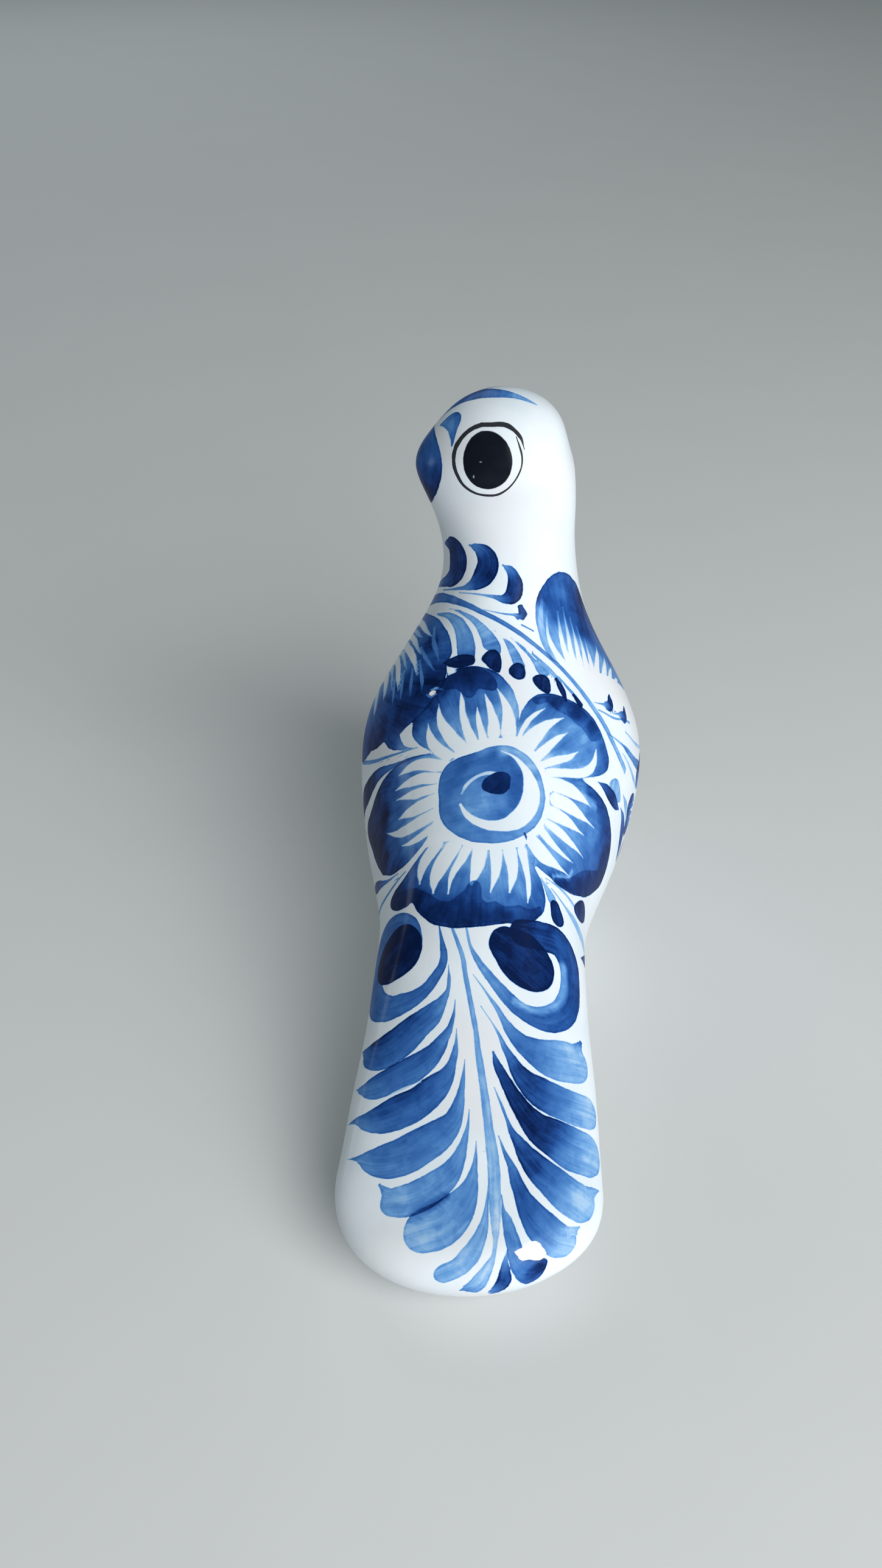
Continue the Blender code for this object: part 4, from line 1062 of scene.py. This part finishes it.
# %% [markdown]
# ## The glaze
# The finish is a cool white glaze with a satin shine. The blue lies under it, so paint and ground share one
# shine. The blue is a wash: thin it is sky blue, thick it is nearly black, and the brush leaves streaks
# along each stroke and a darker line where the wash dried at its edge. All of that is worked out from the
# coats. The shine is held back where the surface turns away, because a full one would lay a pale haze over
# the far side.


# %% Sums on sockets
class Value:
    """A socket that takes part in sums, so that the shader reads like arithmetic."""

    def __init__(self, tree, socket):
        self.tree = tree
        self.socket = socket

    def node(self, kind, settings=None, values=None, out=0):
        """Adds a node: its settings first, then the values or links of its sockets."""
        made = self.tree.nodes.new(kind)
        for name, value in (settings or {}).items():
            if name == "stops":
                while len(made.color_ramp.elements) > 1:
                    made.color_ramp.elements.remove(made.color_ramp.elements[-1])
                made.color_ramp.elements[0].position = value[0][0]
                made.color_ramp.elements[0].color = value[0][1]
                for position, colour in value[1:]:
                    made.color_ramp.elements.new(position).color = colour
            else:
                setattr(made, name, value)
        for name, value in (values or {}).items():
            if isinstance(value, Value):
                self.tree.links.new(value.socket, made.inputs[name])
            else:
                made.inputs[name].default_value = value
        return Value(self.tree, made.outputs[out])

    def sum(self, operation, first, second=0.0):
        return self.node("ShaderNodeMath", {"operation": operation}, {0: first, 1: second})

    def __add__(self, other):
        return self.sum("ADD", self, other)

    __radd__ = __add__

    def __sub__(self, other):
        return self.sum("SUBTRACT", self, other)

    def __rsub__(self, other):
        return self.sum("SUBTRACT", other, self)

    def __mul__(self, other):
        return self.sum("MULTIPLY", self, other)

    __rmul__ = __mul__

    def __abs__(self):
        return self.sum("ABSOLUTE", self)

    def most(self, other):
        return self.sum("MAXIMUM", self, other)

    def least(self, other):
        return self.sum("MINIMUM", self, other)

    def eased(self, start, end):
        """0 at start and 1 at end, with a soft step between them."""
        return self.node("ShaderNodeMapRange", {"interpolation_type": "SMOOTHSTEP"},
                         {"Value": self, "From Min": start, "From Max": end})

    def parts(self):
        """The three numbers of a vector."""
        split = self.node("ShaderNodeSeparateXYZ", values={0: self})
        return [Value(self.tree, socket) for socket in split.socket.node.outputs]

    def noise(self, scale, detail=2.0, roughness=0.5):
        """Noise about 0, from -0.5 to 0.5, at this vector."""
        return self.node("ShaderNodeTexNoise", values={"Vector": self, "Scale": scale, "Detail": detail,
                                                       "Roughness": roughness}) - 0.5


# %% The wash and its brush marks
def colour(red, green, blue):
    """A colour as a screen shows it, turned into light."""
    shown = np.array((red, green, blue)) / 255.0
    return (*np.where(shown > 0.04045, ((shown + 0.055) / 1.055) ** 2.4, shown / 12.92), 1.0)


glaze = bpy.data.materials.new("painted_glaze")
glaze.use_nodes = True
tree = glaze.node_tree
shader = tree.nodes["Principled BSDF"]
start = Value(tree, None)
on_body = start.node("ShaderNodeTexCoord", out="Object")
in_mm = start.node("ShaderNodeVectorMath", {"operation": "SCALE"}, {0: on_body, "Scale": MM})
wobble = in_mm.noise(0.45, 2.0) * 0.36 + in_mm.noise(1.6, 1.0) * 0.14
mottle = in_mm.noise(0.16, 3.0, 0.6)
grain = in_mm.noise(2.2, 2.0)
patches = in_mm.noise(0.28, 2.0, 0.5).eased(-0.06, 0.05) - 0.5


def laid(name, softness=0.14, streaks=1.0, edge_pool=0.09):
    """How much colour one coat holds, from 0 for none to 1 for the darkest."""
    aside, reach, width = start.node("ShaderNodeAttribute", {"attribute_name": f"{name}_shape"},
                                     out="Vector").parts()
    travel, tone, across = start.node("ShaderNodeAttribute", {"attribute_name": f"{name}_body"},
                                      out="Vector").parts()
    edge = abs(aside).most(reach) - width + wobble * (width.least(1.1) * 0.9 + 0.1)
    cover = edge.eased(softness, -softness)
    hairs = start.node("ShaderNodeCombineXYZ",
                       values={"X": travel * 0.07, "Y": across * 1.5, "Z": travel * 0.02})
    bands = start.node("ShaderNodeCombineXYZ",
                       values={"X": travel * 0.09, "Y": across * 0.42, "Z": 3.0})
    marks = (hairs.noise(1.0, 2.0, 0.6) * 0.34 + bands.noise(1.0, 2.0, 0.5) * 0.42) * streaks
    loose = 1.3 - tone
    pool = edge.eased(-0.8, -0.1) * edge_pool
    depth = tone + (marks + mottle * 0.3 + patches * 0.07) * loose + grain * 0.04 + pool
    return cover * depth.least(1.0).most(0.04)


left_bare = 1.0
for name in ("wipes_a", "wipes_b"):
    left_bare = (1.0 - laid(name, 0.2, 0.2, 0.0)) * left_bare
ink_left = 1.0 - laid("petals") * left_bare
for name in ("wash_1", "wash_2", "wash_3"):
    ink_left = ink_left * (1.0 - laid(name))
ink = 1.0 - ink_left
ink = ink * (1.0 - laid("clean", 0.2, 0.1, 0.0))
ink = ink.most(laid("touch", 0.12, 0.1, 0.0))


def mixed(share, first, second):
    """Two colours mixed by a share from 0 to 1."""
    return start.node("ShaderNodeMix", {"data_type": "RGBA"}, {"Factor": share, 6: first, 7: second}, out=2)


print("nodes for the blue:", len(tree.nodes))

# %% The eyes
# An oval's middle across the head and up, then half its width and half its height, mm
PUPIL = (5.65, 159.2, 6.95, 7.4)
# Two painted highlights: small pale glints painted on the black pupil, each an oval
LOW_PAINTED_GLINT, HIGH_PAINTED_GLINT = (9.4, 155.2, 0.22, 0.42), (7.55, 159.3, 0.32, 0.14)
across_head, up = in_mm.parts()[::2]


def oval(middle_x, middle_z, half_width, half_height):
    """How far outside an oval on the head's sides, mm."""
    flat = start.node("ShaderNodeCombineXYZ", values={"X": (across_head - middle_x) * (1.0 / half_width),
                                                      "Y": (up - middle_z) * (1.0 / half_height)})
    size = start.node("ShaderNodeVectorMath", {"operation": "LENGTH"}, {0: flat}, out="Value")
    return (size - 1.0) * (0.5 * (half_width + half_height))


eye = (oval(*PUPIL) + wobble * 0.7).eased(0.12, -0.12)
for name in ("eye_line", "eye_line_end"):
    eye = eye.most(laid(name, 0.12, 0.1, 0.0).eased(0.2, 0.7) * 0.97)
painted_glints = oval(*LOW_PAINTED_GLINT).least(oval(*HIGH_PAINTED_GLINT)).eased(0.1, -0.08)
eye_black = mixed((mottle + 0.5) * 0.5, colour(9, 12, 20), colour(36, 43, 54))
# the painted highlights: two pale glints mixed into the pupil's black
eye_black = mixed(painted_glints * 0.5, eye_black, colour(190, 198, 208))
print("nodes with the eyes:", len(tree.nodes))

# %% Colour, shine and surface
SPECK_DENSITY = 0.11    # cells to a millimetre; a cell shows a speck where its middle meets the skin
SPECK_STRENGTH = 0.45
SHINE = 0.14            # the glaze's shine where it faces the eye
SHINE_LOST = 0.125      # how much of it is gone where the glaze turns away
blue = ink.node("ShaderNodeValToRGB", {"stops": [
    (0.0, colour(226, 234, 240)), (0.12, colour(190, 213, 234)), (0.25, colour(152, 190, 226)),
    (0.38, colour(118, 167, 219)), (0.5, colour(92, 144, 204)), (0.62, colour(72, 124, 189)),
    (0.74, colour(54, 103, 172)), (0.85, colour(35, 79, 148)), (0.93, colour(20, 52, 112)),
    (1.0, colour(8, 27, 68))]}, {"Fac": ink})
white = mixed(in_mm.noise(0.06, 3.0).eased(-0.25, 0.25), colour(222, 231, 237), colour(232, 238, 242))
white = mixed(in_mm.noise(0.035, 2.0).eased(0.0, 0.2) * 0.6, white, colour(231, 229, 230))
speck_cells = in_mm.node("ShaderNodeTexVoronoi", {"feature": "F1"}, {"Vector": in_mm, "Scale": SPECK_DENSITY})
specks = (speck_cells + grain * 0.01).eased(0.022, 0.014)
painted = mixed(ink.eased(0.0, 0.12), white, blue)
painted = mixed(specks * SPECK_STRENGTH, painted, colour(46, 58, 78))
painted = mixed(eye, painted, eye_black)
clay_gap = start.node("ShaderNodeAttribute", {"attribute_name": "bare_clay"}, out="Fac") + wobble * 0.35
bare_clay = clay_gap.eased(0.1, -0.1)
clay = mixed((grain + 0.5), colour(236, 234, 228), colour(250, 249, 246))
painted = mixed(bare_clay, painted, clay)
dull_foot = up.eased(1.6, 0.3)
painted = mixed(dull_foot * 0.7, painted, colour(206, 202, 194))
tree.links.new(painted.socket, shader.inputs["Base Color"])
roughness = 0.3 + mottle * 0.12 + grain * 0.06 + bare_clay * 0.4 + dull_foot * 0.3
tree.links.new(roughness.socket, shader.inputs["Roughness"])
grazing = start.node("ShaderNodeLayerWeight", values={"Blend": 0.5}, out="Facing").eased(0.35, 0.85)
shine = (1.0 - bare_clay) * (1.0 - dull_foot) * (SHINE - grazing * SHINE_LOST)
tree.links.new(shine.socket, shader.inputs["Coat Weight"])
shader.inputs["Specular IOR Level"].default_value = 0.02
shader.inputs["Coat Roughness"].default_value = 0.14
shader.inputs["Coat IOR"].default_value = 1.4
skin = in_mm.noise(0.35, 2.0) * 1.0 + in_mm.noise(1.8, 2.0) * 0.22 + ink * 0.12
dented = start.node("ShaderNodeBump", values={"Height": skin, "Strength": 0.10, "Distance": 0.0005})
tree.links.new(dented.socket, shader.inputs["Normal"])
bird.data.materials.clear()
bird.data.materials.append(glaze)
print("nodes in the glaze:", len(tree.nodes))

# %% [markdown]
# ## Floor, light and camera
# The bird is shown on a plain pale floor. Daylight comes from a large window on the right, so that side is
# bright and the left side turns bluish grey. A weaker lamp stands for the rest of the room, and a small
# cool one low on the left gives the glaze a glimmer there. The camera looks down on the bird from behind
# its tail, as the photograph does.

# %% Floor
bpy.ops.object.select_all(action="DESELECT")
bpy.ops.mesh.primitive_plane_add(size=12.0)
floor = bpy.context.active_object
floor.name = "studio_floor"
paper = bpy.data.materials.new("pale_paper")
paper.use_nodes = True
paper_tree = paper.node_tree
sheet = Value(paper_tree, None)
paper_place = sheet.node("ShaderNodeTexCoord", out="Object")
paper_shade = sheet.node("ShaderNodeMix", {"data_type": "RGBA"},
                         {"Factor": paper_place.noise(14.0, 3.0) + 0.5, 6: colour(224, 224, 222),
                          7: colour(228, 228, 226)}, out=2)
paper_shader = paper_tree.nodes["Principled BSDF"]
paper_tree.links.new(paper_shade.socket, paper_shader.inputs["Base Color"])
paper_shader.inputs["Roughness"].default_value = 0.85
floor.data.materials.append(paper)

# %% Light
world = bpy.data.worlds.new("soft_room")
bpy.context.scene.world = world
world.use_nodes = True
sky = world.node_tree.nodes["Background"]
sky.inputs["Color"].default_value = (0.86, 1.0, 1.02, 1.0)
sky.inputs["Strength"].default_value = 0.15


def soft_light(name, stand, aim, size, power, tint):
    """A square lamp that faces a point."""
    bpy.ops.object.light_add(type="AREA", location=stand)
    lamp = bpy.context.active_object
    lamp.name = name
    lamp.rotation_euler = (Vector(aim) - Vector(stand)).to_track_quat("-Z", "Y").to_euler()
    lamp.data.size = size
    lamp.data.energy = power
    lamp.data.color = tint


BIRD_MIDDLE = (0.0, 0.0, 0.08)
# Name, place, size, power and tint
for name, stand, size, power, tint in (
        ("window", (-0.78, 0.92, 0.70), 1.2, 22.5, (0.98, 1.0, 1.02)),
        ("room", (0.9, -1.9, 1.5), 1.2, 8.0, (0.90, 0.97, 1.0)),
        ("glimmer", (1.6, -0.3, 0.25), 0.25, 1.2, (0.75, 0.85, 1.0))):
    soft_light(name, stand, BIRD_MIDDLE, size, power, tint)
    print("lamp:", name, "watts:", power)
bpy.context.scene.view_settings.view_transform = "Standard"

# %% Camera
CAMERA_PLACE = (-0.0123, 0.325, 0.3135)
CAMERA_TURN = math.radians(5.16)
CAMERA_DOWN = math.radians(38.0)
FOCAL_IN_PIXELS = 2150.0
LONG_SIDE = 2576.0      # the picture's height in the same pixels
SENSOR_WIDTH = 36.0     # mm
camera_data = bpy.data.cameras.new("view")
camera = bpy.data.objects.new("view", camera_data)
bpy.context.scene.collection.objects.link(camera)
bpy.context.scene.camera = camera
camera.location = CAMERA_PLACE
ahead = Vector((math.sin(CAMERA_TURN) * math.cos(CAMERA_DOWN),
                -math.cos(CAMERA_TURN) * math.cos(CAMERA_DOWN), -math.sin(CAMERA_DOWN)))
camera.rotation_euler = ahead.to_track_quat("-Z", "Y").to_euler()
camera_data.sensor_width = SENSOR_WIDTH
camera_data.lens = SENSOR_WIDTH * FOCAL_IN_PIXELS / LONG_SIDE
print("lens, mm:", round(camera_data.lens, 2))
